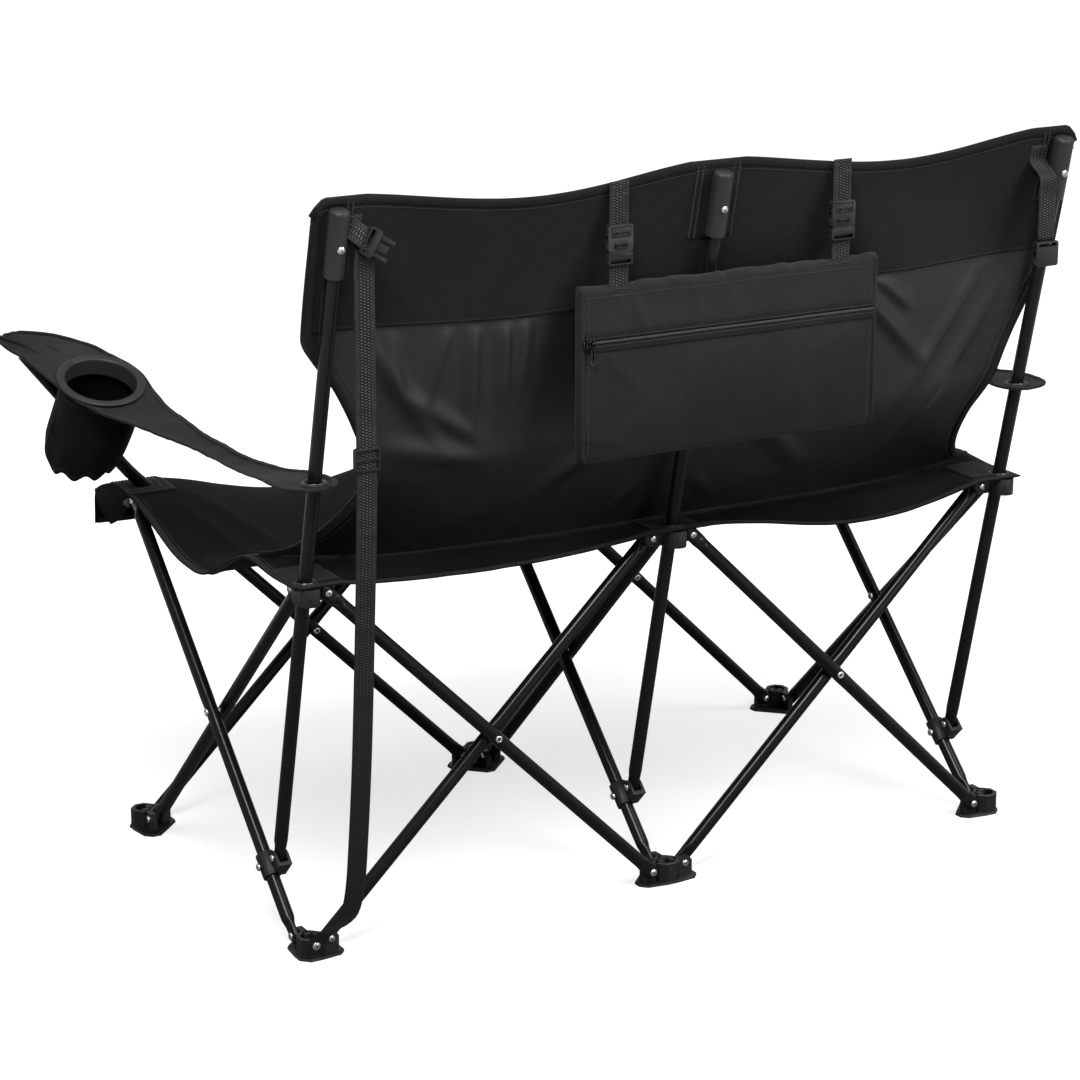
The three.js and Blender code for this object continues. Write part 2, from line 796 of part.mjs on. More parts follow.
// The grommet round a post, built about its own axis: a flange on the armrest and a barrel through it
function armEyelet() {
  const seat = armThickness / 2 + gap;
  const profile = [
    [eyeletBore, -seat - eyeletRim],
    [eyeletBarrel, -seat - eyeletRim],
    [eyeletBarrel, seat],
    [eyeletFlange, seat],
    [eyeletFlange, seat + eyeletRim],
    [eyeletBore, seat + eyeletRim],
    [eyeletBore, -seat - eyeletRim],
  ];
  const grommet = new THREE.LatheGeometry(profile.map(([r, z]) => new THREE.Vector2(r, z)), 16);
  return grommet.rotateX(90 * degree);
}

// Puts a shape that is built about its own Z axis onto the cup holder's axis
function cupFrame(geometry, side) {
  geometry.rotateX(-cupTilt * degree);
  return geometry.translate(side * cupX, cupY, cupHeight);
}

const cupHeight = interpolate(armProfile, -cupY);

// How far the bent part's line passes outside the top pivot, measured level with it
function armTubeShift() {
  const hinge = armTubeBendStart + armTubeBendRun / 2;
  const rise = hinge * Math.cos(openAngle);
  return hinge * Math.sin(openAngle) - rise * Math.tan(openAngle - armTubeBend * degree);
}

function cupRing(side) {
  const outer = cupBoreRadius + cupSleeveWall;
  const profile = [
    [cupBoreRadius, -cupSleeveDepth],
    [outer, -cupSleeveDepth],
    [outer, armThickness / 2 + gap],
    [cupRingRadius, armThickness / 2 + gap],
    [cupRingRadius, cupRimHeight],
    [cupRingRadius - cupRimHeight / 2, cupRimHeight + gap],
    [cupBoreRadius + cupRimHeight / 2, cupRimHeight + gap],
    [cupBoreRadius, cupRimHeight - cupRimHeight / 4],
    [cupBoreRadius, -cupSleeveDepth],
  ];
  const ring = new THREE.LatheGeometry(profile.map(([r, z]) => new THREE.Vector2(r, z)), cupSides);
  ring.rotateX(90 * degree);
  return cupFrame(ring, side);
}

function cupBag(side) {
  const collar = cupBoreRadius + cupSleeveWall + gap;
  const belly = collar + bagBelly;
  const top = -armThickness * 2;
  const profile = [
    [0, -bagDepth],
    [belly * 0.7, -bagDepth],
    [belly * 0.93, -bagDepth * 0.9],
    [belly + bagWall, -bagDepth * 0.6],
    [belly + bagWall, -bagDepth * 0.35],
    [collar + bagWall, top],
    [collar, top],
    [collar, -cupSleeveDepth - gap],
    [belly, -bagDepth * 0.4],
    [belly, -bagDepth * 0.6],
    [belly * 0.9, -bagDepth * 0.87],
    [belly * 0.68, -bagDepth + bagWall],
    [0, -bagDepth + bagWall],
  ];
  const bag = new THREE.LatheGeometry(profile.map(([r, z]) => new THREE.Vector2(r, z)), cupSides);
  bag.rotateX(90 * degree);
  const placed = cupFrame(bag, side);
  return subtract(placed, armSpace(side));
}

// The space that the armrest and the arm tube already fill where the bag hangs below
function armSpace(side) {
  const cutter = barZ(tubeRadius + 2 * gap, 0, armTubeLength + gap, 12);
  cutter.rotateY(side * (openAngle - armTubeBend * degree));
  return cutter.translate(side * (bay - pivotReach + armTubeShift()), -bay + side * halfPitch, topPivotHeight);
}

// Storage pocket and its fittings

const strapPlane = (() => {
  const height = (strapTop - boltZ) / Math.cos(postLean);
  const share = bump(bayShare(strapSpacing / 2 + webbingWidth), 2);
  const offset = -(capRadius + gap + clothThickness / 2) + backBow * share + clothThickness / 2;
  return boltY + height * Math.sin(postLean) + offset / Math.cos(postLean) + gap + webbingThickness / 2;
})();
const strapX = (side) => pocketShift + (side * strapSpacing) / 2;
const plugTop = socketTop - socketHeight;
const plugBottom = plugTop - plugBaseHeight;

function storagePocket() {
  const body = box(pocketWidth, pocketThickness, pocketHeight, pocketShift, strapPlane, pocketTop - pocketHeight / 2);
  const tab = (side) => {
    const height = plugBottom - gap - pocketTop;
    return box(webbingWidth, webbingThickness, height + overrun, strapX(side), strapPlane, pocketTop + (height - overrun) / 2);
  };
  return union(body, tab(1), tab(-1));
}

function pocketStrap(side) {
  const height = strapTop - socketTop - gap;
  return box(webbingWidth, webbingThickness, height, strapX(side), strapPlane, socketTop + gap + height / 2);
}

function roundedPlate(width, height, corner) {
  const shape = new THREE.Shape();
  const x = width / 2;
  shape.moveTo(-x + corner, 0);
  shape.lineTo(x - corner, 0);
  shape.lineTo(x, corner);
  shape.lineTo(x, height - corner);
  shape.lineTo(x - corner, height);
  shape.lineTo(-x + corner, height);
  shape.lineTo(-x, height - corner);
  shape.lineTo(-x, corner);
  return shape;
}

function platePrism(shape, thickness) {
  const prism = new THREE.ExtrudeGeometry(shape, { depth: thickness, bevelEnabled: false, curveSegments: 4 });
  prism.rotateX(90 * degree);
  return prism.translate(0, thickness / 2, 0);
}

// The socket half of a side-release buckle, its mouth down, its foot at z = 0
function buckleSocket() {
  const body = platePrism(roundedPlate(socketWidth, socketHeight, socketWall), buckleThickness);
  const hollow = box(
    socketWidth - 2 * socketWall * 1.6,
    buckleThickness - 2 * socketWall,
    plugInsert + overrun,
    0,
    0,
    (plugInsert - overrun) / 2 + gap,
  );
  const sideWindow = box(
    socketWidth + 2 * overrun,
    buckleThickness - 2 * socketWall,
    windowHeight,
    0,
    0,
    plugInsert - windowHeight / 2 - socketWall,
  );
  const strapSlot = box(
    webbingWidth + overrun,
    buckleThickness + 2 * overrun,
    plugSlotHeight,
    0,
    0,
    socketHeight - plugSlotHeight / 2 - socketWall,
  );
  return subtract(body, hollow, sideWindow, strapSlot);
}

// The plug half: a bar for the webbing, two side prongs and a middle guide, reaching up from z = 0
function bucklePlug() {
  const base = platePrism(roundedPlate(socketWidth, plugBaseHeight, socketWall), buckleThickness);
  base.translate(0, 0, -plugBaseHeight - gap);
  const slot = box(
    webbingWidth + overrun,
    buckleThickness + 2 * overrun,
    plugSlotHeight,
    0,
    0,
    -plugBaseHeight + plugSlotHeight / 2 + socketWall - gap,
  );
  const room = socketWidth / 2 - socketWall * 1.6 - gap;
  const depth = buckleThickness - 2 * socketWall - 2 * gap;
  const prong = (side) => box(
    prongWidth,
    depth,
    plugInsert - gap + overrun,
    side * (room - prongWidth / 2),
    0,
    (plugInsert - gap - overrun) / 2,
  );
  const guide = box(
    2 * (room - prongWidth - prongGap),
    depth,
    plugInsert * 0.8,
    0,
    0,
    plugInsert * 0.4 - overrun,
  );
  return union(subtract(base, slot), prong(1), prong(-1), guide);
}

const zipFace = strapPlane + pocketThickness / 2 + gap;

// The box that ends the zip
function zipStop() {
  const x = pocketShift + pocketWidth / 2 - stopInset;
  return box(stopWidth, sliderHeight, sliderSize, x, zipFace + sliderHeight / 2, pocketTop - zipDrop);
}

function zipSlider() {
  const x = pocketShift + pocketWidth / 2 - zipInset;
  const z = pocketTop - zipDrop;
  const body = box(sliderSize, sliderHeight, sliderSize, x, zipFace + sliderHeight / 2, z);
  const pull = box(
    sliderSize * 0.6,
    pullThickness,
    pullLength,
    x,
    zipFace + sliderHeight - pullThickness / 2,
    z - sliderSize / 2 - pullLength / 2 + overrun,
  );
  return union(body, pull);
}

// Webbing that hangs by itself. Its routes are points from the top down, behind the back cloth.
const hangX = bay - capRadius - webbingWidth / 2 - overrun;
const hangY = 110;
const behindBack = (z) => postAxisY(z) - (capRadius + gap) / Math.cos(postLean) + 2 * gap + webbingThickness / 2;
const hangStart = (side) => [
  [side * hangX, behindBack(hangTop), hangTop],
  [side * hangX, behindBack(hangTop - hangSeam), hangTop - hangSeam],
  [side * hangX, hangY, hangTop - 2 * hangSeam],
  [side * hangX, hangY, hangTop - 3 * hangSeam],
];
// Down the fall of the carry strap: shares of the way across to the foot, out from the rear row, and up
const carryStrapFall = [
  [0, 1, 0.73],
  [0, 1, 0.66],
  [0, 0.9, 0.457],
  [0, 0.8, 0.297],
  [0.02, 0.69, 0.171],
  [0.05, 0.62, 0.114],
  [0.14, 0.52, 0.077],
  [0.34, 0.37, 0.056],
  [0.66, 0.24, 0.043],
  [0.92, 0.165, 0.029],
];
const carryStrapRoute = [
  ...hangStart(1),
  ...carryStrapFall.map(([across, out, up]) => [
    THREE.MathUtils.lerp(hangX, bay, across),
    hangY * out,
    hangTop * up,
  ]),
  [bay, ringRadius + headHeight, ringRadius * 0.67],
];
const closingStrapRoute = [
  ...hangStart(-1),
  [-hangX, hangY, hangTop - closingDrop],
];

// A flat band through the points, level across, thick in the plane of its fall
function band(route) {
  const points = route.map(([x, y, z]) => new THREE.Vector3(x, y, z));
  const across = new THREE.Vector3(1, 0, 0);
  const rings = points.map((point, at) => {
    const before = points[Math.max(0, at - 1)];
    const after = points[Math.min(points.length - 1, at + 1)];
    const way = after.clone().sub(before).normalize();
    const out = new THREE.Vector3().crossVectors(way, across).normalize();
    return [[-1, -1], [1, -1], [1, 1], [-1, 1]].map(([side, face]) => point.clone()
      .addScaledVector(across, (side * webbingWidth) / 2)
      .addScaledVector(out, (face * webbingThickness) / 2));
  });
  return loft(rings);
}

// A ladder lock: a frame with three bars, round the webbing at its height
function ladderLock() {
  const outer = platePrism(roundedPlate(lockWidth, lockLength, socketWall), lockThickness);
  const slotHeight = (lockLength - 4 * socketWall) / 2 - overrun;
  const slot = (side) => box(
    webbingWidth + overrun,
    lockThickness + 2 * overrun,
    slotHeight,
    0,
    0,
    lockLength / 2 + side * (slotHeight / 2 + socketWall),
  );
  const channel = box(webbingWidth + overrun, webbingThickness + 2 * gap, lockLength + 2 * overrun, 0, 0, lockLength / 2);
  const lock = subtract(outer, slot(1), slot(-1), channel);
  return lock.translate(hangX, hangY, hangTop - lockDrop - lockLength / 2);
}

// Assembly

const loveseat = new THREE.Group();

function add(name, geometry, finish, parent = loveseat) {
  const mesh = new THREE.Mesh(geometry, finishes[finish]);
  mesh.name = name;
  parent.add(mesh);
  return mesh;
}

// A cross tube of the front or rear row stands in an XZ plane and leans towards +X or -X
function addRowTube(name, x, y, lean, arm = false) {
  const side = -lean;
  const tube = add(name, crossTube({ side, arm }), "tube");
  tube.position.set(x, y - side * halfPitch, footPivotHeight);
  tube.rotation.y = lean * openAngle;
}

// A side tube stands in a YZ plane: climb is -1 from a rear foot to a front hub, 1 the other way
function addSideTube(name, x, climb) {
  const y = climb < 0 ? -pivotReach : -bay + pivotReach;
  const tube = add(name, crossTube({ side: climb }), "tube");
  tube.position.set(x - climb * halfPitch, y, footPivotHeight);
  tube.rotation.set(-climb * openAngle, 0, -90 * degree);
  return tube;
}

const columns = { left: bay, centre: 0, right: -bay };
const rows = { rear: 0, front: -bay };
const westEast = { left: [180], centre: [0, 180], right: [0] };

for (const [column, x] of Object.entries(columns)) {
  add(`foot_rear_${column}`, foot([...westEast[column], 270]), "moulding").position.set(x, rows.rear, 0);
  add(`foot_front_${column}`, foot([...westEast[column], 90]), "moulding").position.set(x, rows.front, 0);
  const hub = add(`hub_rear_${column}`, rearHub([...westEast[column], 270]), "moulding");
  hub.position.set(x, rows.rear, topPivotHeight);
}

add("hub_front_centre", frontMiddleHub(), "moulding").position.set(0, rows.front, topPivotHeight);
add("hub_front_left", frontCornerHub(1), "moulding").position.set(bay, rows.front, topPivotHeight);
add("hub_front_right", frontCornerHub(-1), "moulding").position.set(-bay, rows.front, topPivotHeight);

addRowTube("rear_tube_left_outer", bay - pivotReach, rows.rear, -1);
addRowTube("rear_tube_left_inner", pivotReach, rows.rear, 1);
addRowTube("rear_tube_right_inner", -pivotReach, rows.rear, -1);
addRowTube("rear_tube_right_outer", -bay + pivotReach, rows.rear, 1);
addRowTube("front_tube_left", bay - pivotReach, rows.front, -1);
addRowTube("arm_tube_left", pivotReach, rows.front, 1, true);
addRowTube("arm_tube_right", -pivotReach, rows.front, -1, true);
addRowTube("front_tube_right", -bay + pivotReach, rows.front, 1);

for (const [column, x] of Object.entries(columns)) {
  const carrier = addSideTube(`side_tube_${column}_rear_foot`, x, -1);
  addSideTube(`side_tube_${column}_front_foot`, x, 1);
  const clamp = add(`post_clamp_${column}`, postClamp(), "moulding");
  clamp.position.copy(carrier.position);
  clamp.rotation.copy(carrier.rotation);
  const post = add(`back_post_${column}`, backPost(), "tube");
  post.position.set(x, boltY, boltZ);
  post.rotation.set(-postLean, 0, -90 * degree);
  const cap = add(`post_cap_${column}`, postCap(), "cap");
  cap.position.copy(post.position);
  cap.rotation.copy(post.rotation);
}

add("seat_rear_half", seatRearHalf(), "cloth");
add("seat_front_half", seatFrontHalf(), "cloth");
add("back_panel", backPanel(), "cloth");
for (const [column, side] of [["left", 1], ["right", -1]]) {
  add(`armrest_${column}`, armrest(side), "cloth");
  const eyelet = add(`armrest_eyelet_${column}`, armEyelet(), "moulding");
  eyelet.position.set(side * bay, postAxisY(eyeletHeight), eyeletHeight);
  add(`cup_ring_${column}`, cupRing(side), "cap");
  add(`cup_bag_${column}`, cupBag(side), "cloth");
  add(`pocket_strap_${column}`, pocketStrap(side), "webbing");
  const socket = add(`pocket_buckle_socket_${column}`, buckleSocket(), "moulding");
  socket.position.set(strapX(side), strapPlane, plugTop);
  const plug = add(`pocket_buckle_plug_${column}`, bucklePlug(), "moulding");
  plug.position.set(strapX(side), strapPlane, plugTop);
}
add("storage_pocket", storagePocket(), "cloth");
add("pocket_zip_stop", zipStop(), "metal");
add("pocket_zip_slider", zipSlider(), "metal");
add("carry_strap", band(carryStrapRoute), "webbing");
add("carry_strap_ladder_lock", ladderLock(), "moulding");
add("closing_strap", band(closingStrapRoute), "webbing");
const closingSocket = add("closing_buckle_socket", buckleSocket(), "moulding");
closingSocket.position.set(-hangX, hangY, hangTop - closingDrop - socketHeight - gap);
const closingPlug = add("closing_buckle_plug", bucklePlug(), "moulding");
closingPlug.position.set(
  hangX - webbingWidth * 0.46,
  hangY + (webbingThickness + buckleThickness) / 2 + gap,
  hangTop - loosePlugDrop,
);
closingPlug.rotation.y = loosePlugTurn * degree;

// The origin is the middle of the bounding box, on the floor
const bounds = new THREE.Box3().setFromObject(loveseat, true);
const middle = bounds.getCenter(new THREE.Vector3());
loveseat.position.set(-middle.x, -middle.y, 0);
loveseat.updateMatrixWorld(true);

export default loveseat;
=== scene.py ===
import math

import bmesh
import bpy
from mathutils import Matrix, Vector, noise


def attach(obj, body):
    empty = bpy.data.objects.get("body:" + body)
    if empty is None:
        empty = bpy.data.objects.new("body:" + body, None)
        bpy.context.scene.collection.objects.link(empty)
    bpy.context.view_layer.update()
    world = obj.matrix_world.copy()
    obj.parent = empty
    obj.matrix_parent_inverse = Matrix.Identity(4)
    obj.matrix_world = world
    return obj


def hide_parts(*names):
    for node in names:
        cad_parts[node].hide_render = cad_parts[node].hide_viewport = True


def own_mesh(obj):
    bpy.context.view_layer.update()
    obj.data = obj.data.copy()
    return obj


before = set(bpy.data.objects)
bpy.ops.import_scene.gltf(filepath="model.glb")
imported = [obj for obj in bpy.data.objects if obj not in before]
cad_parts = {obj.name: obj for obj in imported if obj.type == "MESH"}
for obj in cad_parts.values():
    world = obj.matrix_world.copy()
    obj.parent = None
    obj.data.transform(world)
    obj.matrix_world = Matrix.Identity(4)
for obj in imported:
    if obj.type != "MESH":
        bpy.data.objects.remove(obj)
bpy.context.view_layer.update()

bl_info = {
    "name": "Folding camping loveseat",
    "version": (1, 0, 0),
    "blender": (4, 5, 0),
    "location": "View3D > Sidebar > Loveseat",
    "description": "Dresses the loveseat's frame in tubes, mouldings, cloth, webbing and stitching",
    "category": "Add Mesh",
}

# The shapes are worked out in millimetres, with the rear hubs on y = 0 and the middle post on
# x = 0, and then put into the row frame in metres.
MM = 0.001
ROW_SHIFT = 222.65
TO_ROW = Matrix.Scale(MM, 4) @ Matrix.Translation((0, ROW_SHIFT, 0))

BAY = 480
PIVOT_REACH = 25
FOOT_PIVOT = 18
FRAME_RISE = 418
HALF_PITCH = 8.25
CROSS_SPAN = BAY - 2 * PIVOT_REACH
CROSS_LENGTH = math.hypot(CROSS_SPAN, FRAME_RISE)
OPEN_ANGLE = math.atan2(CROSS_SPAN, FRAME_RISE)
TOP_PIVOT = FOOT_PIVOT + FRAME_RISE
HUB_TOP = TOP_PIVOT + 10
CLAMP_ALONG = 92
CLAMP_ASIDE = 18
BOLT_Y = -PIVOT_REACH - CLAMP_ALONG * math.sin(OPEN_ANGLE) + CLAMP_ASIDE * math.cos(OPEN_ANGLE)
BOLT_Z = FOOT_PIVOT + CLAMP_ALONG * math.cos(OPEN_ANGLE) + CLAMP_ASIDE * math.sin(OPEN_ANGLE)
POST_LEAN = math.atan2(1 - BOLT_Y, TOP_PIVOT - BOLT_Z)
POST_LENGTH = 808
CAP_TOP = POST_LENGTH + 4
GAP = 0.3
COLUMNS = {"left": BAY, "centre": 0, "right": -BAY}
SIDES = {"left": 1, "right": -1}
SEAT_HALF = 500
HUB_REACH = 37
BACK_HALF = 506
CUP_CENTRE = Vector((555, -388, 605.3))
CUP_TILT = math.radians(22.2)
EYELET_HEIGHT = 568
STRAP_X = {"left": 136, "right": -162}
STRAP_PLANE = 104.5
POCKET_SHIFT = -13
HANG_X = 454.5
HANG_Y = 110
WEBBING = 25
SEAT_FRONT = -BAY - 70
VALANCE_DROP = 47
ARM_REAR = -54
ARM_TIP = 503
POCKET_TOP = 771
POCKET_LOW = 569
POCKET_HALF = 201
ZIP_HEIGHT = 708
UP = Vector((0, 0, 1))
BEHIND = Vector((0, 1, 0))


# Places and shapes

def placed(x=0, y=0, z=0, turn=(0, 0, 0)):
    """Where a shape built about its own origin goes."""
    turned_by = [Matrix.Rotation(angle, 4, axis) for angle, axis in zip(turn, "XYZ")]
    return Matrix.Translation((x, y, z)) @ turned_by[0] @ turned_by[1] @ turned_by[2]


def share_of(value, start, end):
    return min(1, max(0, (value - start) / (end - start)))


def eased(value, start, end):
    share = share_of(value, start, end)
    return share * share * (3 - 2 * share)


def mixed(a, b, share):
    return a + (b - a) * share


def bump(share, power=1):
    return math.sin(math.pi * min(1, max(0, share))) ** power


def bay_share(distance):
    return (abs(distance) - HUB_REACH) / (BAY - 2 * HUB_REACH)


def post_y(z):
    return BOLT_Y + (z - BOLT_Z) * math.tan(POST_LEAN)


def smooth_at(rows, at, column=1):
    """A smooth line through rows of numbers, read at a value of their first column."""
    at = min(rows[-1][0], max(rows[0][0], at))
    upper = next(i for i, row in enumerate(rows) if row[0] >= at and i > 0)
    here, there = rows[upper - 1], rows[upper]
    span = there[0] - here[0]

    def slope(i):
        low, high = rows[max(0, i - 1)], rows[min(len(rows) - 1, i + 1)]
        return (high[column] - low[column]) / (high[0] - low[0])

    t = (at - here[0]) / span
    start, end = slope(upper - 1) * span, slope(upper) * span
    rise = there[column] - here[column]
    return here[column] + t * (start + t * (3 * rise - 2 * start - end + t * (start + end - 2 * rise)))


def along_route(points, step=8):
    """Points about a step apart on a smooth line through the given ones."""
    points = [Vector(point) for point in points]
    line = []
    for i in range(len(points) - 1):
        before = points[max(0, i - 1)]
        here, there = points[i], points[i + 1]
        after = points[min(len(points) - 1, i + 2)]
        reach = (there - here).length
        leave = (there - before) * reach / max(1e-6, (there - here).length + (here - before).length)
        arrive = (after - here) * reach / max(1e-6, (after - there).length + (there - here).length)
        steps = max(1, round(reach / step))
        for k in range(steps):
            t = k / steps
            line.append(
                here * (2 * t**3 - 3 * t**2 + 1)
                + leave * (t**3 - 2 * t**2 + t)
                + there * (3 * t**2 - 2 * t**3)
                + arrive * (t**3 - t**2)
            )
    return line + [points[-1]]


def folds(x, y, lines):
    """How far cloth stands up at a point, from creases of (x, y, x, y, half width, height)."""
    height = 0
    for x0, y0, x1, y1, spread, rise in lines:
        dx, dy = x1 - x0, y1 - y0
        t = ((x - x0) * dx + (y - y0) * dy) / (dx * dx + dy * dy)
        if -0.2 < t < 1.2:
            off = ((x - x0) * dy - (y - y0) * dx) / math.hypot(dx, dy)
            ends = eased(t, -0.2, 0.25) * (1 - eased(t, 0.6, 1.2))
            height += rise * math.exp(-((off / spread) ** 2)) * ends
    return height


def ripple(x, y, size, seed=0):
    """Uneven ground from -1 to 1, with bumps about as wide as size."""
    return noise.fractal(Vector((x / size, y / size, seed * 7.3)), 0.7, 2.1, 3)


def lay(mesh, columns, rows, place, closed=False, material=0):
    """A grid laid into shape: place takes its shares across and along, and gives the point."""
    verts = bmesh.ops.create_grid(mesh, x_segments=columns, y_segments=rows, size=1)["verts"]
    spots = {vert: ((vert.co.x + 1) / 2, (vert.co.y + 1) / 2) for vert in verts}
    for vert, (u, v) in spots.items():
        vert.co = place(u, v)
    across = [place(i / 16, 0.5) for i in range(17)]
    down = [place(0.5, i / 16) for i in range(17)]
    width = sum((b - a).length for a, b in zip(across, across[1:])) * MM
    length = sum((b - a).length for a, b in zip(down, down[1:])) * MM
    cloth = mesh.loops.layers.uv.verify()
    faces = list({face for vert in verts for face in vert.link_faces})
    for face in faces:
        face.smooth = True
        face.material_index = material
        for loop in face.loops:
            u, v = spots[loop.vert]
            loop[cloth].uv = (u * width, v * length)
    if closed:
        bmesh.ops.remove_doubles(mesh, verts=verts, dist=0.001)
    return faces


def cap_off(mesh, faces, material=0):
    """Closes the open ends of a tube and turns its faces outwards."""
    edges = {edge for face in faces for edge in face.edges if len(edge.link_faces) == 1}
    lids = bmesh.ops.holes_fill(mesh, edges=list(edges), sides=0)["faces"]
    for lid in lids:
        lid.material_index = material
        lid.smooth = False
    bmesh.ops.recalc_face_normals(mesh, faces=faces + lids)


def turned(mesh, profile, steps=28, at=Matrix(), material=0):
    """A profile of radius and height, turned about Z into a closed shell."""
    before = set(mesh.verts)
    verts = [mesh.verts.new((radius, 0, height)) for radius, height in profile]
    edges = [mesh.edges.new(pair) for pair in zip(verts, verts[1:])]
    bmesh.ops.spin(
        mesh, geom=verts + edges, cent=(0, 0, 0), axis=(0, 0, 1), angle=math.tau,
        steps=steps, use_merge=True,
    )
    fresh = [vert for vert in mesh.verts if vert not in before]
    bmesh.ops.remove_doubles(mesh, verts=fresh, dist=0.001)
    fresh = [vert for vert in mesh.verts if vert not in before]
    faces = list({face for vert in fresh for face in vert.link_faces})
    for face in faces:
        face.smooth = True
        face.material_index = material
    bmesh.ops.recalc_face_normals(mesh, faces=faces)
    bmesh.ops.transform(mesh, matrix=at, verts=fresh)
    return faces


def block(mesh, size, at=Matrix(), corner=0.0, axis=2, edge=0.5, material=0):
    """A block with its corners rounded about one axis, and its edges broken."""
    verts = bmesh.ops.create_cube(mesh, size=1)["verts"]
    bmesh.ops.scale(mesh, vec=size, verts=verts)
    faces = {face for vert in verts for face in vert.link_faces}
    if corner:
        edges = {edge for face in faces for edge in face.edges}
        upright = [e for e in edges if abs((e.verts[0].co - e.verts[1].co).normalized()[axis]) > 0.9]
        made = bmesh.ops.bevel(
            mesh, geom=upright, offset=corner, segments=5, affect="EDGES", profile=0.5, material=-1,
        )
        faces = {face for face in faces | set(made["faces"]) if face.is_valid}
    sharp = [
        e for e in {edge for face in faces for edge in face.edges}
        if len(e.link_faces) == 2 and e.calc_face_angle() > math.radians(40)
    ]
    made = bmesh.ops.bevel(
        mesh, geom=sharp, offset=edge, segments=2, affect="EDGES", profile=0.5, material=-1,
    )
    faces = {face for face in faces | set(made["faces"]) if face.is_valid}
    for face in faces:
        face.smooth = True
        face.material_index = material
    bmesh.ops.transform(mesh, matrix=at, verts=list({vert for face in faces for vert in face.verts}))


def plate(mesh, outline, thickness, at=Matrix(), material=0):
    """A flat plate in XZ with the given outline, its middle on y = 0."""
    verts = [mesh.verts.new((x, -thickness / 2, z)) for x, z in outline]
    face = mesh.faces.new(verts)
    grown = bmesh.ops.extrude_face_region(mesh, geom=[face])["geom"]
    far = [item for item in grown if isinstance(item, bmesh.types.BMVert)]
    bmesh.ops.translate(mesh, vec=(0, thickness, 0), verts=far)
    faces = list({f for vert in verts + far for f in vert.link_faces})
    for made in faces:
        made.material_index = material
    bmesh.ops.recalc_face_normals(mesh, faces=faces)
    bmesh.ops.transform(mesh, matrix=at, verts=verts + far)


def strip(mesh, path, normals, width, thickness, sides=10, material=0, power=0.45):
    """A band with rounded edges along a path: width lies across it and thickness along its normals."""
    last = len(path) - 1
    if not isinstance(normals, list):
        normals = [normals] * len(path)
    widths = width if isinstance(width, list) else [width] * len(path)

    def place(u, v):
        i = round(v * last)
        way = (path[min(last, i + 1)] - path[max(0, i - 1)]).normalized()
        across = way.cross(Vector(normals[i])).normalized()
        out = across.cross(way)
        cosine, sine = math.cos(u * math.tau), math.sin(u * math.tau)
        side = math.copysign(abs(cosine) ** power, cosine) * widths[i] / 2
        face = math.copysign(abs(sine) ** power, sine) * thickness / 2
        return path[i] + across * side + out * face

    faces = lay(mesh, sides, last, place, closed=True, material=material)
    cap_off(mesh, faces, material)
    return faces


def stitches(mesh, path, normals, pitch=4.2, length=3.0, width=0.9, rise=0.5, material=0):
    """A row of thread stitches lying on a path."""
    if not isinstance(normals, list):
        normals = [normals] * len(path)
    walked = 0
    for here, there, normal in zip(path, path[1:], normals):
        reach = (there - here).length
        way = (there - here).normalized()
        out = Vector(normal).normalized()
        across = way.cross(out).normalized()
        while walked < reach:
            centre = here + way * walked
            verts = bmesh.ops.create_cube(mesh, size=1)["verts"]
            for vert in verts:
                x, y, z = vert.co
                vert.co = (
                    centre
                    + way * (x * length * (0.7 if z > 0 else 1))
                    + across * (y * width * (0.6 if z > 0 else 1))
                    + out * (z * rise)
                )
            for face in {face for vert in verts for face in vert.link_faces}:
                face.smooth = True
                face.material_index = material
            walked += pitch
        walked -= reach


def copy_of(node):
    """A merged copy of a CAD node's mesh, with its flat faces whole again, in millimetres."""
    mesh = bmesh.new()
    mesh.from_mesh(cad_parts[node].data)
    bmesh.ops.transform(mesh, matrix=TO_ROW.inverted(), verts=mesh.verts)
    bmesh.ops.remove_doubles(mesh, verts=mesh.verts, dist=0.01)
    bmesh.ops.dissolve_limit(
        mesh, angle_limit=math.radians(2), use_dissolve_boundaries=False,
        verts=mesh.verts, edges=mesh.edges,
    )
    return mesh


def piece(name, mesh, looks, body, replaces=(), sharp=None, rounding=0, wall=0):
    """Turns a mesh in millimetres into a finished piece that rides on a CAD body.

    looks are the names of its materials, by index."""
    bmesh.ops.transform(mesh, matrix=TO_ROW, verts=mesh.verts)
    data = bpy.data.meshes.new(name)
    mesh.to_mesh(data)
    mesh.free()
    for look in looks:
        data.materials.append(bpy.data.materials[look])
    if rounding or sharp:
        data.polygons.foreach_set("use_smooth", [True] * len(data.polygons))
    if sharp:
        data.set_sharp_from_angle(angle=math.radians(sharp))
    made = bpy.data.objects.new(name, data)
    bpy.context.scene.collection.objects.link(made)
    if wall:
        thick = made.modifiers.new("Thickness", "SOLIDIFY")
        thick.thickness = wall * MM
        thick.offset = 0
    if rounding:
        soft = made.modifiers.new("Rounding", "BEVEL")
        soft.width = rounding * MM
        soft.segments = 2
        soft.limit_method = "ANGLE"
        soft.angle_limit = math.radians(30)
        soft.harden_normals = True
    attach(made, body)
    if replaces:
        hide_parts(*replaces)
    return made


def moulded_copy(node, body, name=None, rounding=0.8):
    """A CAD node's own shape as a black moulding with broken edges."""
    black = ["Black moulding"]
    return piece(f"{name or node}_moulded", copy_of(node), black, body, [node], rounding=rounding)


def gathers(made):
    """Gives the cloth a mesh of its own."""
    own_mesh(made)
    return made


# Materials

def fill(tree, node, sockets):
    """Sets a node's sockets, each to a value or to another node's output."""
    for socket, value in sockets.items():
        if isinstance(value, bpy.types.NodeSocket):
            tree.links.new(value, node.inputs[socket])
        else:
            node.inputs[socket].default_value = value


def link(tree, output, node, socket):
    tree.links.new(output, node.inputs[socket])


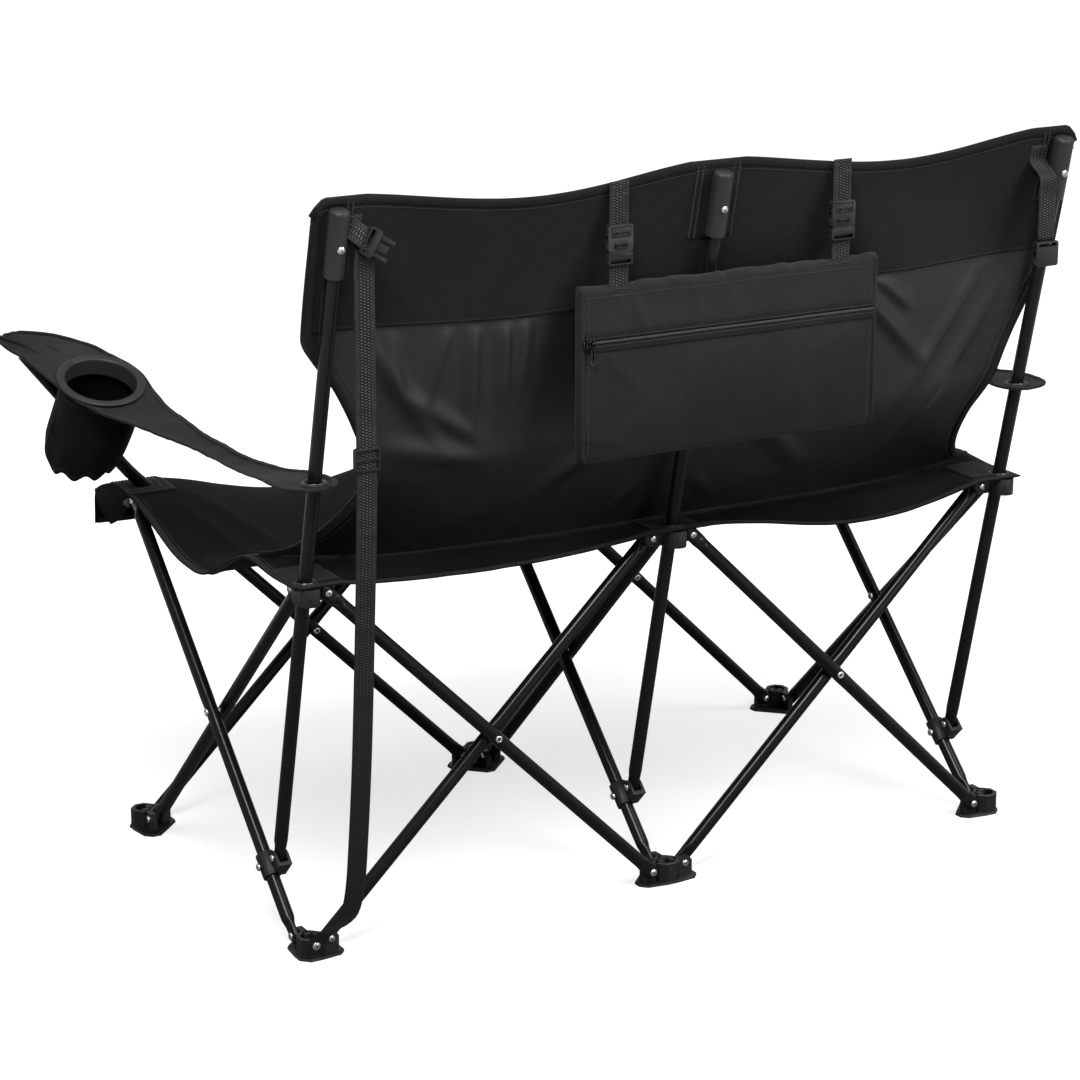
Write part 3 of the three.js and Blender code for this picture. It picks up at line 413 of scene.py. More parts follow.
def add_node(tree, kind, sockets=None, **settings):
    """A node with its settings, its values and its incoming links."""
    made = tree.nodes.new(kind)
    for name, value in settings.items():
        setattr(made, name, value)
    fill(tree, made, sockets or {})
    return made


def maths(tree, operation, a, b=0.0, clamp=False):
    return add_node(tree, "ShaderNodeMath", {0: a, 1: b}, operation=operation, use_clamp=clamp).outputs[0]


def ridges(tree, value, count):
    """Rounded ridges, count of them to the metre."""
    turns = maths(tree, "MULTIPLY", value, count * math.pi)
    return maths(tree, "ABSOLUTE", maths(tree, "SINE", turns))


def blended(tree, share, a, b):
    """A colour between two others."""
    mix = add_node(tree, "ShaderNodeMix", data_type="RGBA")
    fill(tree, mix, {0: share, 6: a, 7: b})
    return mix.outputs[2]


def ranged(tree, value, low, high, start=0.0, end=1.0):
    sockets = {0: value, 1: start, 2: end, 3: low, 4: high}
    return add_node(tree, "ShaderNodeMapRange", sockets).outputs[0]


def effect(name, inputs, outputs):
    """An empty node group with its named sockets, and its two end nodes."""
    tree = bpy.data.node_groups.new(name, "ShaderNodeTree")
    for socket, kind, value in inputs:
        made = tree.interface.new_socket(name=socket, in_out="INPUT", socket_type=kind)
        if value is not None:
            made.default_value = value
    for socket in outputs:
        tree.interface.new_socket(name=socket, in_out="OUTPUT", socket_type="NodeSocketFloat")
    return tree, tree.nodes.new("NodeGroupInput"), tree.nodes.new("NodeGroupOutput")


def make_weave():
    """Warp and weft that pass over and under each other, so many threads to the metre."""
    inputs = [("Place", "NodeSocketVector", None), ("Threads", "NodeSocketFloat", 900.0)]
    tree, inlet, outlet = effect("Plain weave", inputs, ["Height", "Slub"])
    place = add_node(tree, "ShaderNodeVectorMath", {0: inlet.outputs[0]}, operation="SCALE")
    link(tree, inlet.outputs[1], place, "Scale")
    parts = add_node(tree, "ShaderNodeSeparateXYZ", {0: place.outputs[0]})
    rounds, cells = [], []
    for socket in (0, 1):
        rounds.append(ridges(tree, parts.outputs[socket], 1))
        cells.append(maths(tree, "FLOOR", parts.outputs[socket]))
    over = maths(tree, "PINGPONG", maths(tree, "ADD", cells[0], cells[1]), 1.0)
    height = add_node(tree, "ShaderNodeMix", {0: over, 2: rounds[0], 3: rounds[1]})
    link(tree, height.outputs[0], outlet, "Height")
    slub = add_node(tree, "ShaderNodeTexNoise", {"Vector": inlet.outputs[0], "Scale": 260.0, "Detail": 2.0})
    link(tree, slub.outputs[0], outlet, "Slub")


def make_fade():
    """Broad uneven patches, for rubbed, dusty or faded places."""
    inputs = [
        ("Place", "NodeSocketVector", None),
        ("Scale", "NodeSocketFloat", 9.0),
        ("Edge", "NodeSocketFloat", 0.45),
    ]
    tree, inlet, outlet = effect("Fading", inputs, ["Mask"])
    sockets = {"Vector": inlet.outputs[0], "Scale": inlet.outputs[1], "Detail": 5.0, "Roughness": 0.62}
    clouds = add_node(tree, "ShaderNodeTexNoise", sockets)
    top = maths(tree, "ADD", inlet.outputs[2], 0.28)
    mask = add_node(
        tree, "ShaderNodeMapRange", {0: clouds.outputs[0], 1: inlet.outputs[2], 2: top, 3: 0.0, 4: 1.0},
    )
    link(tree, mask.outputs[0], outlet, "Mask")


def make_grain():
    """The fine pebbled face of a mould, with a few scuffs across it."""
    inputs = [("Place", "NodeSocketVector", None), ("Scale", "NodeSocketFloat", 900.0)]
    tree, inlet, outlet = effect("Moulded grain", inputs, ["Height", "Scuff"])
    pebbles = add_node(
        tree, "ShaderNodeTexNoise", {"Vector": inlet.outputs[0], "Scale": inlet.outputs[1], "Detail": 1.0},
    )
    link(tree, pebbles.outputs[0], outlet, "Height")
    stretched = add_node(tree, "ShaderNodeMapping", {0: inlet.outputs[0], 3: (30.0, 30.0, 260.0)})
    sockets = {"Vector": stretched.outputs[0], "Scale": 1.0, "Detail": 3.0}
    lines = add_node(tree, "ShaderNodeTexNoise", sockets)
    scuff = add_node(tree, "ShaderNodeMapRange", {0: lines.outputs[0], 1: 0.6, 2: 0.74, 3: 0.0, 4: 1.0})
    link(tree, scuff.outputs[0], outlet, "Scuff")


def make_edge_rub_and_highlight():
    """Where the edges of a hard part are lighter: partly rubbed, partly a painted highlight along every
    raised edge.
    """
    tree, inlet, outlet = effect("Rubbed and highlighted edges", [("Sharpness", "NodeSocketFloat", 12.0)], ["Mask"])
    raised = add_node(tree, "ShaderNodeNewGeometry").outputs["Pointiness"]
    proud = maths(tree, "SUBTRACT", raised, 0.52)
    mask = maths(tree, "MULTIPLY", proud, inlet.outputs[0], clamp=True)
    link(tree, mask, outlet, "Mask")


def make_hang():
    """How much of the light from above still reaches a height on hanging cloth."""
    inputs = [
        ("Place", "NodeSocketVector", None), ("Low", "NodeSocketFloat", 0.4),
        ("High", "NodeSocketFloat", 0.8), ("Least", "NodeSocketFloat", 0.5),
    ]
    tree, inlet, outlet = effect("Hanging shade", inputs, ["Shade"])
    height = add_node(tree, "ShaderNodeSeparateXYZ", {0: inlet.outputs[0]}).outputs[2]
    sockets = {0: height, 1: inlet.outputs[1], 2: inlet.outputs[2], 3: inlet.outputs[3], 4: 1.0}
    shade = add_node(tree, "ShaderNodeMapRange", sockets, interpolation_type="SMOOTHSTEP")
    link(tree, shade.outputs[0], outlet, "Shade")


def placed_group(tree, name, sockets):
    made = add_node(tree, "ShaderNodeGroup")
    made.node_tree = bpy.data.node_groups[name]
    fill(tree, made, sockets)
    return made


def new_material(name, **values):
    """A material with a Principled shader, its constants set on the shader's own sockets."""
    material = bpy.data.materials.new(name)
    material.use_nodes = True
    shader = material.node_tree.nodes["Principled BSDF"]
    for socket, value in values.items():
        shader.inputs[socket.replace("_", " ")].default_value = value
    return material.node_tree, shader


def rgba(colour, times=1.0):
    return (colour[0] * times, colour[1] * times, colour[2] * times, 1.0)


def bumped(tree, height, distance, strength=1.0, normal=None):
    sockets = {"Strength": strength, "Distance": distance, "Height": height}
    if normal is not None:
        sockets["Normal"] = normal
    return add_node(tree, "ShaderNodeBump", sockets).outputs[0]


def cloth_finish(name, colour, rubbed, roughness, threads, sheen, weave_depth, specular=0.5, hang=None):
    """Woven cloth: threads from its own map, painted shade between the threads, uneven dye, worn places and a
    soft ripple.

    hang is the height below which it is in its own shade, the height above which it is not, and the shade."""
    tree, shader = new_material(
        name, Sheen_Weight=sheen, Sheen_Roughness=0.5, Specular_IOR_Level=specular,
    )
    places = add_node(tree, "ShaderNodeTexCoord")
    weave = placed_group(tree, "Plain weave", {"Place": places.outputs["UV"], "Threads": threads})
    fade = placed_group(tree, "Fading", {"Place": places.outputs["Object"], "Scale": 6.0})
    threads_seen = ranged(tree, weave.outputs["Slub"], 0.82, 1.16, 0.3, 0.7)
    tinted = blended(tree, fade.outputs["Mask"], rgba(colour), rgba(rubbed))
    # Darker where the weave lies low between the threads: painted shade; the slub varies the tone at random.
    painted_shade_and_slub = maths(tree, "MULTIPLY", ranged(tree, weave.outputs["Height"], 0.72, 1.05), threads_seen)
    if hang:
        sockets = {"Place": places.outputs["Object"], "Low": hang[0], "High": hang[1], "Least": hang[2]}
        painted_shade_and_slub = maths(tree, "MULTIPLY", painted_shade_and_slub, placed_group(tree, "Hanging shade", sockets).outputs[0])
    shade = add_node(tree, "ShaderNodeVectorMath", {0: tinted}, operation="SCALE")
    link(tree, painted_shade_and_slub, shade, "Scale")
    link(tree, shade.outputs[0], shader, "Base Color")
    low, high = roughness
    link(tree, ranged(tree, fade.outputs["Mask"], high, low), shader, "Roughness")
    crumple = add_node(
        tree, "ShaderNodeTexNoise",
        {"Vector": places.outputs["Object"], "Scale": 34.0, "Detail": 4.0, "Roughness": 0.55},
    )
    soft = bumped(tree, crumple.outputs[0], 0.0012, 0.7)
    link(tree, bumped(tree, weave.outputs["Height"], weave_depth, 0.8, soft), shader, "Normal")


def hard_finish(name, colour, rubbed, roughness, grain, depth, metallic=0.0, coat=0.0, specular=0.5):
    """A moulded or coated part: grain, uneven gloss, scuffs, and raised edges lighter, partly rubbed and
    partly a painted highlight.
    """
    tree, shader = new_material(
        name, Metallic=metallic, Coat_Weight=coat, Coat_Roughness=0.12, Specular_IOR_Level=specular,
    )
    places = add_node(tree, "ShaderNodeTexCoord")
    pebbles = placed_group(tree, "Moulded grain", {"Place": places.outputs["Object"], "Scale": grain})
    fade = placed_group(tree, "Fading", {"Place": places.outputs["Object"], "Scale": 24.0})
    # Raised edges lighter: partly rubbed, partly painted highlight.
    rub = placed_group(tree, "Rubbed and highlighted edges", {"Sharpness": 9.0})
    scuffs = maths(tree, "MULTIPLY", pebbles.outputs["Scuff"], 0.35)
    worn = maths(tree, "MAXIMUM", rub.outputs["Mask"], scuffs)
    base = blended(tree, fade.outputs["Mask"], rgba(colour), rgba(colour, 1.35))
    link(tree, blended(tree, worn, base, rgba(rubbed)), shader, "Base Color")
    low, high = roughness
    faded = maths(tree, "MULTIPLY", fade.outputs["Mask"], 0.6)
    gloss = maths(tree, "ADD", faded, maths(tree, "MULTIPLY", worn, 0.4))
    link(tree, ranged(tree, gloss, low, high), shader, "Roughness")
    link(tree, bumped(tree, pebbles.outputs["Height"], depth, 0.5), shader, "Normal")


def webbing_finish(name, colour, light):
    """Narrow webbing of thick slanting yarns, light flecks between dark ones: painted highlights on the
    raised yarns, fewer towards the bottom as painted shade.
    """
    tree, shader = new_material(name, Sheen_Weight=0.05, Specular_IOR_Level=0.2)
    places = add_node(tree, "ShaderNodeTexCoord")
    uv = places.outputs["UV"]
    parts = add_node(tree, "ShaderNodeSeparateXYZ", {0: uv})
    columns = maths(tree, "MULTIPLY", parts.outputs[0], 300 * math.pi)
    rows = maths(tree, "MULTIPLY", parts.outputs[1], 310 * math.pi)
    falling = maths(tree, "SINE", maths(tree, "ADD", columns, rows))
    rising = maths(tree, "SINE", maths(tree, "SUBTRACT", columns, rows))
    yarn = maths(tree, "ABSOLUTE", maths(tree, "MULTIPLY", falling, rising))
    fade = placed_group(tree, "Fading", {"Place": uv, "Scale": 60.0, "Edge": 0.35})
    # The light flecks sit on the raised yarns: painted highlight.
    proud = ranged(tree, yarn, 0.0, 1.0, 0.5, 0.95)
    fleck = maths(tree, "MULTIPLY", proud, ranged(tree, fade.outputs["Mask"], 0.35, 1.0))
    sockets = {"Place": places.outputs["Object"], "Low": 0.16, "High": 0.7, "Least": 0.1}
    fleck = maths(tree, "MULTIPLY", fleck, placed_group(tree, "Hanging shade", sockets).outputs[0])
    link(tree, blended(tree, fleck, rgba(colour), rgba(light)), shader, "Base Color")
    link(tree, ranged(tree, yarn, 0.8, 0.5), shader, "Roughness")
    link(tree, bumped(tree, yarn, 0.0004, 1.0), shader, "Normal")


def binding_finish(name, colour, rubbed):
    """Folded binding tape with a rib across it."""
    tree, shader = new_material(name, Sheen_Weight=0.05, Specular_IOR_Level=0.15)
    places = add_node(tree, "ShaderNodeTexCoord")
    parts = add_node(tree, "ShaderNodeSeparateXYZ", {0: places.outputs["UV"]})
    rib = ridges(tree, parts.outputs[1], 520)
    fade = placed_group(tree, "Fading", {"Place": places.outputs["Object"], "Scale": 30.0, "Edge": 0.4})
    worn = maths(tree, "MULTIPLY", fade.outputs["Mask"], ranged(tree, rib, 0.4, 1.0))
    link(tree, blended(tree, worn, rgba(colour), rgba(rubbed)), shader, "Base Color")
    link(tree, ranged(tree, rib, 0.9, 0.66), shader, "Roughness")
    link(tree, bumped(tree, rib, 0.0004, 0.8), shader, "Normal")


def coil_finish(name, dark, light):
    """The coil of a zip: turns side by side between dark tapes, each lighter along its crest as a painted
    highlight.
    """
    tree, shader = new_material(name, Specular_IOR_Level=0.3)
    uv = add_node(tree, "ShaderNodeTexCoord").outputs["UV"]
    parts = add_node(tree, "ShaderNodeSeparateXYZ", {0: uv})
    turns = ridges(tree, parts.outputs[1], 420)
    # Lighter along the crest of each turn: painted highlight.
    shine = ranged(tree, turns, 0.0, 1.0, 0.35, 0.9)
    link(tree, blended(tree, shine, rgba(dark), rgba(light)), shader, "Base Color")
    link(tree, ranged(tree, turns, 0.6, 0.3), shader, "Roughness")
    link(tree, bumped(tree, turns, 0.0008), shader, "Normal")


def brighter(colour, times):
    return [channel * times for channel in colour]


def make_finishes(colours):
    """Every material of the loveseat, made once."""
    make_weave()
    make_fade()
    make_grain()
    make_edge_rub_and_highlight()
    make_hang()
    cloth, coated, pocket, thread = colours.cloth, colours.coated, colours.pocket, colours.thread
    # The seat and cup bags are the same cloth as the armrests at 0.3 of its colour: painted shade.
    seat = brighter(cloth, 0.3)
    # name, colour, how much lighter where rubbed, then as cloth_finish has them
    for name, colour, lighter, *rest in (
        ("Band cloth", cloth, 1.5, (0.78, 0.92), 1150.0, 0.04, 0.00016, 0.12),
        ("Coated cloth", coated, 1.25, (0.34, 0.46), 1150.0, 0.0, 0.00008, 0.45, (0.5, 0.8, 0.35)),
        ("Armrest cloth", cloth, 1.7, (0.6, 0.8), 1150.0, 0.03, 0.00016, 0.16),
        ("Seat cloth", seat, 1.5, (0.6, 0.8), 1150.0, 0.01, 0.00016, 0.08),
        ("Pocket cloth", pocket, 1.4, (0.6, 0.78), 1250.0, 0.08, 0.00018, 0.18, (0.56, 0.74, 0.3)),
        ("Thread", thread, 1.3, (0.6, 0.8), 2600.0, 0.1, 0.0001),
    ):
        cloth_finish(name, colour, brighter(colour, lighter), *rest)
    # name, colour, colour where rubbed and on the painted edge highlights, then as hard_finish has them
    for look in (
        ("Tube enamel", colours.tube, (0.018, 0.017, 0.0165), (0.2, 0.3), 420.0, 0.00003, 0.0, 0.1, 0.16),
        ("Bright zinc", colours.zinc, (0.85, 0.85, 0.84), (0.22, 0.4), 700.0, 0.00003, 1.0),
        ("Smoked metal", (0.06, 0.06, 0.06), (0.2, 0.2, 0.2), (0.2, 0.36), 700.0, 0.00003, 1.0),
        ("Black moulding", colours.moulding, (0.04, 0.04, 0.04), (0.4, 0.6), 1100.0, 0.00006, 0.0, 0.0, 0.26),
        ("Slate moulding", colours.cap, (0.06, 0.06, 0.062), (0.4, 0.54), 1000.0, 0.00005, 0.0, 0.0, 0.3),
        # The near-black finish in holes and screw recesses: painted shade.
        ("Recess in painted shade", (0.004, 0.004, 0.004), (0.01, 0.01, 0.01), (0.7, 0.9), 900.0, 0.00003),
    ):
        hard_finish(*look)
    webbing_finish("Webbing", colours.webbing, colours.webbing_highlight)
    binding_finish("Binding tape", colours.binding, brighter(colours.binding, 2.2))
    coil_finish("Zip coil", (0.008, 0.008, 0.008), (0.085, 0.08, 0.078))


# The materials of a piece, by index
ENAMELLED = ["Tube enamel", "Bright zinc", "Recess in painted shade"]
MOULDED = ["Black moulding", "Bright zinc", "Recess in painted shade"]
CAPPED = ["Slate moulding", "Bright zinc", "Recess in painted shade"]
PRESSED = ["Black moulding", "Smoked metal"]
BOUND = ["Binding tape", "Thread"]
SEWN = ["Band cloth", "Thread"]


# Metal frame

RIVET = [(0, 0), (4.6, 0), (4.6, 0.7), (4.25, 1.5), (3.4, 2.0), (2.6, 1.95), (2.1, 1.4), (2.0, 0.3), (0, 0.3)]
BOLT = [(0, 0), (4.6, 0), (4.6, 0.8), (4.2, 1.5), (3.2, 2.1), (1.6, 2.4), (0, 2.45)]


def head(mesh, at, profile, zinc=1, dark=2):
    """A rivet or bolt head, standing up along the place's own Z."""
    turned(mesh, profile, 20, at, zinc)
    # The rivet's hollow is a near-black disc, and the bolt's cross recess near-black blocks: painted shade.
    if profile is RIVET:
        turned(mesh, [(0, 0.25), (1.9, 0.25), (1.9, 0.5), (0, 0.5)], 12, at, dark)
        return
    for turn in (0.6, 0.6 + math.pi / 2):
        cross = at @ Matrix.Translation((0, 0, 2.25)) @ Matrix.Rotation(turn, 4, "Z")
        block(mesh, (3.6, 0.8, 0.5), cross, edge=0.1, material=dark)


def pin_through(mesh, low, high, height, heads):
    """A pin along Y with a head at each end. Its heads may differ, first at the low end."""
    shank = placed(0, low, height, (-math.pi / 2, 0, 0))
    turned(mesh, [(0, 0), (3, 0), (3, high - low), (0, high - low)], 12, shank, 1)
    head(mesh, placed(0, low, height, (math.pi / 2, 0, 0)), heads[0])
    head(mesh, placed(0, high, height, (-math.pi / 2, 0, 0)), heads[1])


def tube_skin(mesh, sections, sides=28):
    """A tube through sections of (height, width, thickness, shift, turn), eased from one to the next."""
    stations = []
    for here, there in zip(sections, sections[1:]):
        steps = 1 if here[1:3] == there[1:3] and here[4] == there[4] else 6
        for step in range(steps):
            share = step / steps
            soft = eased(share, 0, 1)
            values = [mixed(a, b, soft) for a, b in zip(here[1:], there[1:])]
            stations.append([mixed(here[0], there[0], share), *values])
    stations.append(sections[-1])

    def place(u, v):
        height, width, thickness, shift, turn = stations[round(v * (len(stations) - 1))]
        power = 0.5 + 0.5 * min(1, thickness / width)
        cosine, sine = math.cos(u * math.tau), math.sin(u * math.tau)
        across = math.copysign(abs(cosine) ** power, cosine) * width / 2
        through = math.copysign(abs(sine) ** power, sine) * thickness / 2
        return Vector((shift + across * math.cos(turn), through, height - across * math.sin(turn)))

    cap_off(mesh, lay(mesh, sides, len(stations) - 1, place, closed=True))


def round_at(height, diameter, shift=0.0, turn=0.0):
    return (height, diameter, diameter, shift, turn)


def pinched(pivot, way, diameter, thickness=8):
    """The flat end of a tube round its pivot, with the tube going up from it where way is 1."""
    flat = [(-9, 5.4), (-8.2, 9), (-6.8, 12), (-2.5, 17), (0, 17.6), (10, 17.6)]
    sections = [(pivot + way * along, width, thickness, 0.0, 0.0) for along, width in flat]
    sections.append(round_at(pivot + way * 25, diameter))
    return sections if way > 0 else sections[::-1]


def crossing(at, diameter):
    return [
        round_at(at - 22, diameter), (at - 10, 16.6, 15, 0.0, 0.0),
        (at + 10, 16.6, 15, 0.0, 0.0), round_at(at + 22, diameter),
    ]


def arm_top(side, diameter):
    """Above the seat the arm tube leans by a small bend towards the armrest's tip."""
    bend = math.radians(7)
    start, run = CROSS_LENGTH + 34, 24
    rest = 258 + side * 4 - 34 - run
    rise, lean = run * math.cos(bend / 2), -run * math.sin(bend / 2)
    return [
        round_at(start, diameter),
        round_at(start + rise / 2, diameter, lean * 0.3, -bend / 2),
        round_at(start + rise, diameter, lean, -bend),
        round_at(start + rise + rest * math.cos(bend), diameter, lean - rest * math.sin(bend), -bend),
    ]


def cross_tube(mesh, side, diameter, arm=False):
    """One tube of a scissor pair in its own frame, with its pins: hubs lie on its own +Y where side is 1."""
    middle = CROSS_LENGTH / 2
    if arm:
        top = crossing(CROSS_LENGTH, diameter)[:3] + arm_top(side, diameter)
    else:
        top = pinched(CROSS_LENGTH, -1, diameter)
    tube_skin(mesh, pinched(0, 1, diameter) + crossing(middle, diameter) + top)
    if arm and side > 0:
        bmesh.ops.scale(mesh, vec=(-1, 1, 1), verts=mesh.verts)
        bmesh.ops.recalc_face_normals(mesh, faces=mesh.faces)
    hub_face = HALF_PITCH + 3.95 + GAP
    for height, near, far in (
        (0, 4, hub_face),
        (CROSS_LENGTH, 7 if arm else 4, 7 + 6 + 2 * GAP if arm else hub_face),
    ):
        low, high = sorted((-side * near, side * far))
        pin_through(mesh, low, high, height, (BOLT, BOLT))
    if side > 0:
        pin_through(mesh, -7, 2 * HALF_PITCH + 7 + GAP, middle, (RIVET, RIVET))


class LoveseatTubes(bpy.types.Operator):
    """The fourteen scissor tubes, pinched at their pins, with rivets and bolts"""

    bl_idname = "loveseat.tubes"
    bl_label = "Scissor tubes"

    def execute(self, context):
        diameter = context.scene.loveseat_sizes.tube_diameter / MM
        row_tubes = [
            ("rear_tube_left_outer", BAY - PIVOT_REACH, 0, -1, False),
            ("rear_tube_left_inner", PIVOT_REACH, 0, 1, False),
            ("rear_tube_right_inner", -PIVOT_REACH, 0, -1, False),
            ("rear_tube_right_outer", -BAY + PIVOT_REACH, 0, 1, False),
            ("front_tube_left", BAY - PIVOT_REACH, -BAY, -1, False),
            ("arm_tube_left", PIVOT_REACH, -BAY, 1, True),
            ("arm_tube_right", -PIVOT_REACH, -BAY, -1, True),
            ("front_tube_right", -BAY + PIVOT_REACH, -BAY, 1, False),
        ]
        places = {
            name: (placed(x, y + lean * HALF_PITCH, FOOT_PIVOT, (0, lean * OPEN_ANGLE, 0)), -lean, arm)
            for name, x, y, lean, arm in row_tubes
        }
        for column, x in COLUMNS.items():
            for end, climb in (("rear", -1), ("front", 1)):
                y = -PIVOT_REACH if climb < 0 else -BAY + PIVOT_REACH
                turn = (-climb * OPEN_ANGLE, 0, -math.pi / 2)
                at = placed(x - climb * HALF_PITCH, y, FOOT_PIVOT, turn)
                places[f"side_tube_{column}_{end}_foot"] = (at, climb, False)
        for name, (at, side, arm) in places.items():
            mesh = bmesh.new()
            cross_tube(mesh, side, diameter, arm)
            bmesh.ops.transform(mesh, matrix=at, verts=mesh.verts)
            piece(f"{name}_enamelled", mesh, ENAMELLED, name, [name], sharp=38)
        return {"FINISHED"}


def post_frame(x):
    return placed(x, BOLT_Y, BOLT_Z, (-POST_LEAN, 0, -math.pi / 2))


class LoveseatPosts(bpy.types.Operator):
    """The three back posts on their bolts, and the caps over their tops"""

    bl_idname = "loveseat.posts"
    bl_label = "Back posts and caps"

    def execute(self, context):
        diameter = context.scene.loveseat_sizes.tube_diameter / MM
        low = CAP_TOP - 77
        cap = [
            (8.3, low), (11.3, low), (12, low + 0.8), (12, CAP_TOP - 4.5), (11.5, CAP_TOP - 2.4),
            (10.2, CAP_TOP - 0.9), (8.2, CAP_TOP - 0.1), (0, CAP_TOP),
            (0, CAP_TOP - 3.7), (8.3, CAP_TOP - 3.7), (8.3, low),
        ]
        for column, x in COLUMNS.items():
            mesh = bmesh.new()
            tube_skin(mesh, [*pinched(0, 1, diameter, 10), round_at(POST_LENGTH, diameter)])
            pin_through(mesh, -9.1, 9.1, 0, (BOLT, BOLT))
            bmesh.ops.transform(mesh, matrix=post_frame(x), verts=mesh.verts)
            body = f"back_post_{column}"
            piece(f"{body}_enamelled", mesh, ENAMELLED, body, [body], sharp=38)
            mesh = bmesh.new()
            turned(mesh, cap, 40)
            screw = placed(-11.2, 0, CAP_TOP - 42, (0, -math.pi / 2, 0))
            turned(mesh, [(0, 0), (5.6, 0), (5.6, 0.9), (4.9, 1.1), (0, 1.1)], 24, screw, 0)
            head(mesh, screw @ Matrix.Translation((0, 0, 0.6)), BOLT)
            bmesh.ops.transform(mesh, matrix=post_frame(x), verts=mesh.verts)
            piece(f"post_cap_{column}_moulded", mesh, CAPPED, body, [f"post_cap_{column}"], sharp=30)
        return {"FINISHED"}


# Moulded parts

FOOT_SOCKET = [
    (0, 1), (16.3, 1), (16.3, 25.2), (15.6, 26), (11.8, 26), (11.2, 25.4), (11.2, 5), (0, 5),
]
FOOT_LUG = [(4, 1), (31, 1), (35, 5), (35, 21), (30.5, 26), (4, 26)]


def foot(mesh, at, arms):
    """A moulded foot: an open eight-sided socket and its lugs on one flat sole."""
    eighth = Matrix.Rotation(math.pi / 8, 4, "Z")
    turned(mesh, FOOT_SOCKET, 8, at @ eighth)
    sole = []
    for turn in [None, *arms]:
        limb = at @ Matrix.Rotation(math.radians(turn or 0), 4, "Z")
        if turn is not None:
            plate(mesh, FOOT_LUG, 7.9, limb)
        reach, width = (0, 18.6) if turn is None else (27, 15)
        for corner in range(8):
            out = eighth @ Matrix.Rotation(corner * math.pi / 4, 4, "Z") @ Vector((width, 0, 0))
            sole += [limb @ (out + Vector((reach, 0, 0))), limb @ (out * 0.95 + Vector((reach, 0, 3.4)))]
    made = bmesh.ops.convex_hull(mesh, input=[mesh.verts.new(spot) for spot in sole])
    bmesh.ops.delete(mesh, geom=[item for item in made["geom_interior"] if item.is_valid], context="VERTS")
    # Near-black slots on the socket's free faces: painted shade.
    for turn in (0, 90, 180, 270):
        if turn not in arms:
            face = at @ Matrix.Rotation(math.radians(turn), 4, "Z") @ Matrix.Translation((14.9, 0, 17))
            block(mesh, (0.6, 2.8, 5), face, corner=1.2, axis=0, edge=0.1, material=2)


class LoveseatFeet(bpy.types.Operator):
    """The six feet with their sockets, soles and lugs"""

    bl_idname = "loveseat.feet"
    bl_label = "Feet"

    def execute(self, context):
        sideways = {"left": [180], "centre": [0, 180], "right": [0]}
        for column, x in COLUMNS.items():
            for row, y, inwards in (("rear", 0, 270), ("front", -BAY, 90)):
                mesh = bmesh.new()
                name = f"foot_{row}_{column}"
                foot(mesh, placed(x, y, 0), [*sideways[column], inwards])
                if (row, column) == ("rear", "left"):
                    screw = placed(x + 1, y + 18.1, 19.5, (-math.pi / 2, 0, 0))
                    head(mesh, screw @ Matrix.Scale(1.12, 4), BOLT)
                piece(f"{name}_moulded", mesh, MOULDED, name, [name], sharp=35, rounding=0.5)
        return {"FINISHED"}


class LoveseatHubs(bpy.types.Operator):
    """The six hubs, the post collars among them, and the post clamps"""

    bl_idname = "loveseat.hubs"
    bl_label = "Hubs and clamps"

    def execute(self, context):
        for column, x in COLUMNS.items():
            for row in ("rear", "front"):
                name = f"hub_{row}_{column}"
                mesh = copy_of(name)
                if row == "rear":
                    # A near-black disc for the rear hub's eye: painted shade.
                    eye = placed(x + 4, 26.4, TOP_PIVOT, (-math.pi / 2, 0, 0))
                    turned(mesh, [(0, 0), (2.4, 0), (2.4, 0.8), (0, 0.8)], 14, eye, 2)
                piece(f"{name}_moulded", mesh, MOULDED, name, [name], rounding=0.5)
            name = f"post_clamp_{column}"
            body = f"side_tube_{column}_rear_foot"
            piece(f"{name}_moulded", copy_of(name), MOULDED, body, [name], rounding=0.8)
            mesh = bmesh.new()
            at = placed(x + HALF_PITCH, -PIVOT_REACH, FOOT_PIVOT, (OPEN_ANGLE, 0, -math.pi / 2))
            head(mesh, at @ placed(0, 12.6, CLAMP_ALONG, (-math.pi / 2, 0, 0)), BOLT, 0, 1)
            piece(f"clamp_bolt_{column}", mesh, ["Bright zinc", "Recess in painted shade"], body, sharp=38)
        return {"FINISHED"}


# Seat

LEFT_FOLDS = [
    (440, -470, 300, -240, 9, 4.5), (430, -440, 250, -110, 7, 3.2), (455, -430, 380, -200, 8, 4.0),
    (60, -460, 190, -250, 9, 4.5), (50, -430, 120, -150, 8, 3.0), (420, -40, 300, -180, 9, 3.5),
]
SEAT_FOLDS = [
    *LEFT_FOLDS,
    *((-x0, y0, -x1, y1, spread, rise) for x0, y0, x1, y1, spread, rise in LEFT_FOLDS),
    (470, -330, 494, -180, 7, -3.0), (-470, -330, -494, -180, 7, -3.0),
]
# How low the seat's side lies at each distance forward of the rear hubs
SEAT_SIDE = [
    (-60, 0), (0, 0), (40, 0), (75, -3), (106, -5), (140, 4), (180, 24), (225, 44), (260, 50), (310, 45),
    (370, 26), (430, 7), (475, 0), (500, 1), (530, 9), (560, 22),
]


def seat_height(x, y):
    """The seat cloth: tight over the hubs, slack along the sides and between them."""
    across = bay_share(x)
    along = min(1, max(0, bay_share(y))) if y < 0 else 0
    side = smooth_at(SEAT_SIDE, -y)
    middle = max(side, 0) + mixed(0, 36, along) + bump(along, 1.5) * 8
    hem = 17 * bump(across, 0.8) if x > 0 else 31 * bump(max(0, across) ** 1.3, 1.1)
    hem *= 1 - eased(seat_rear_edge(x) - y, 0, 34)
    return HUB_TOP + 1.8 - mixed(side, middle, bump(across, 1.5)) - hem


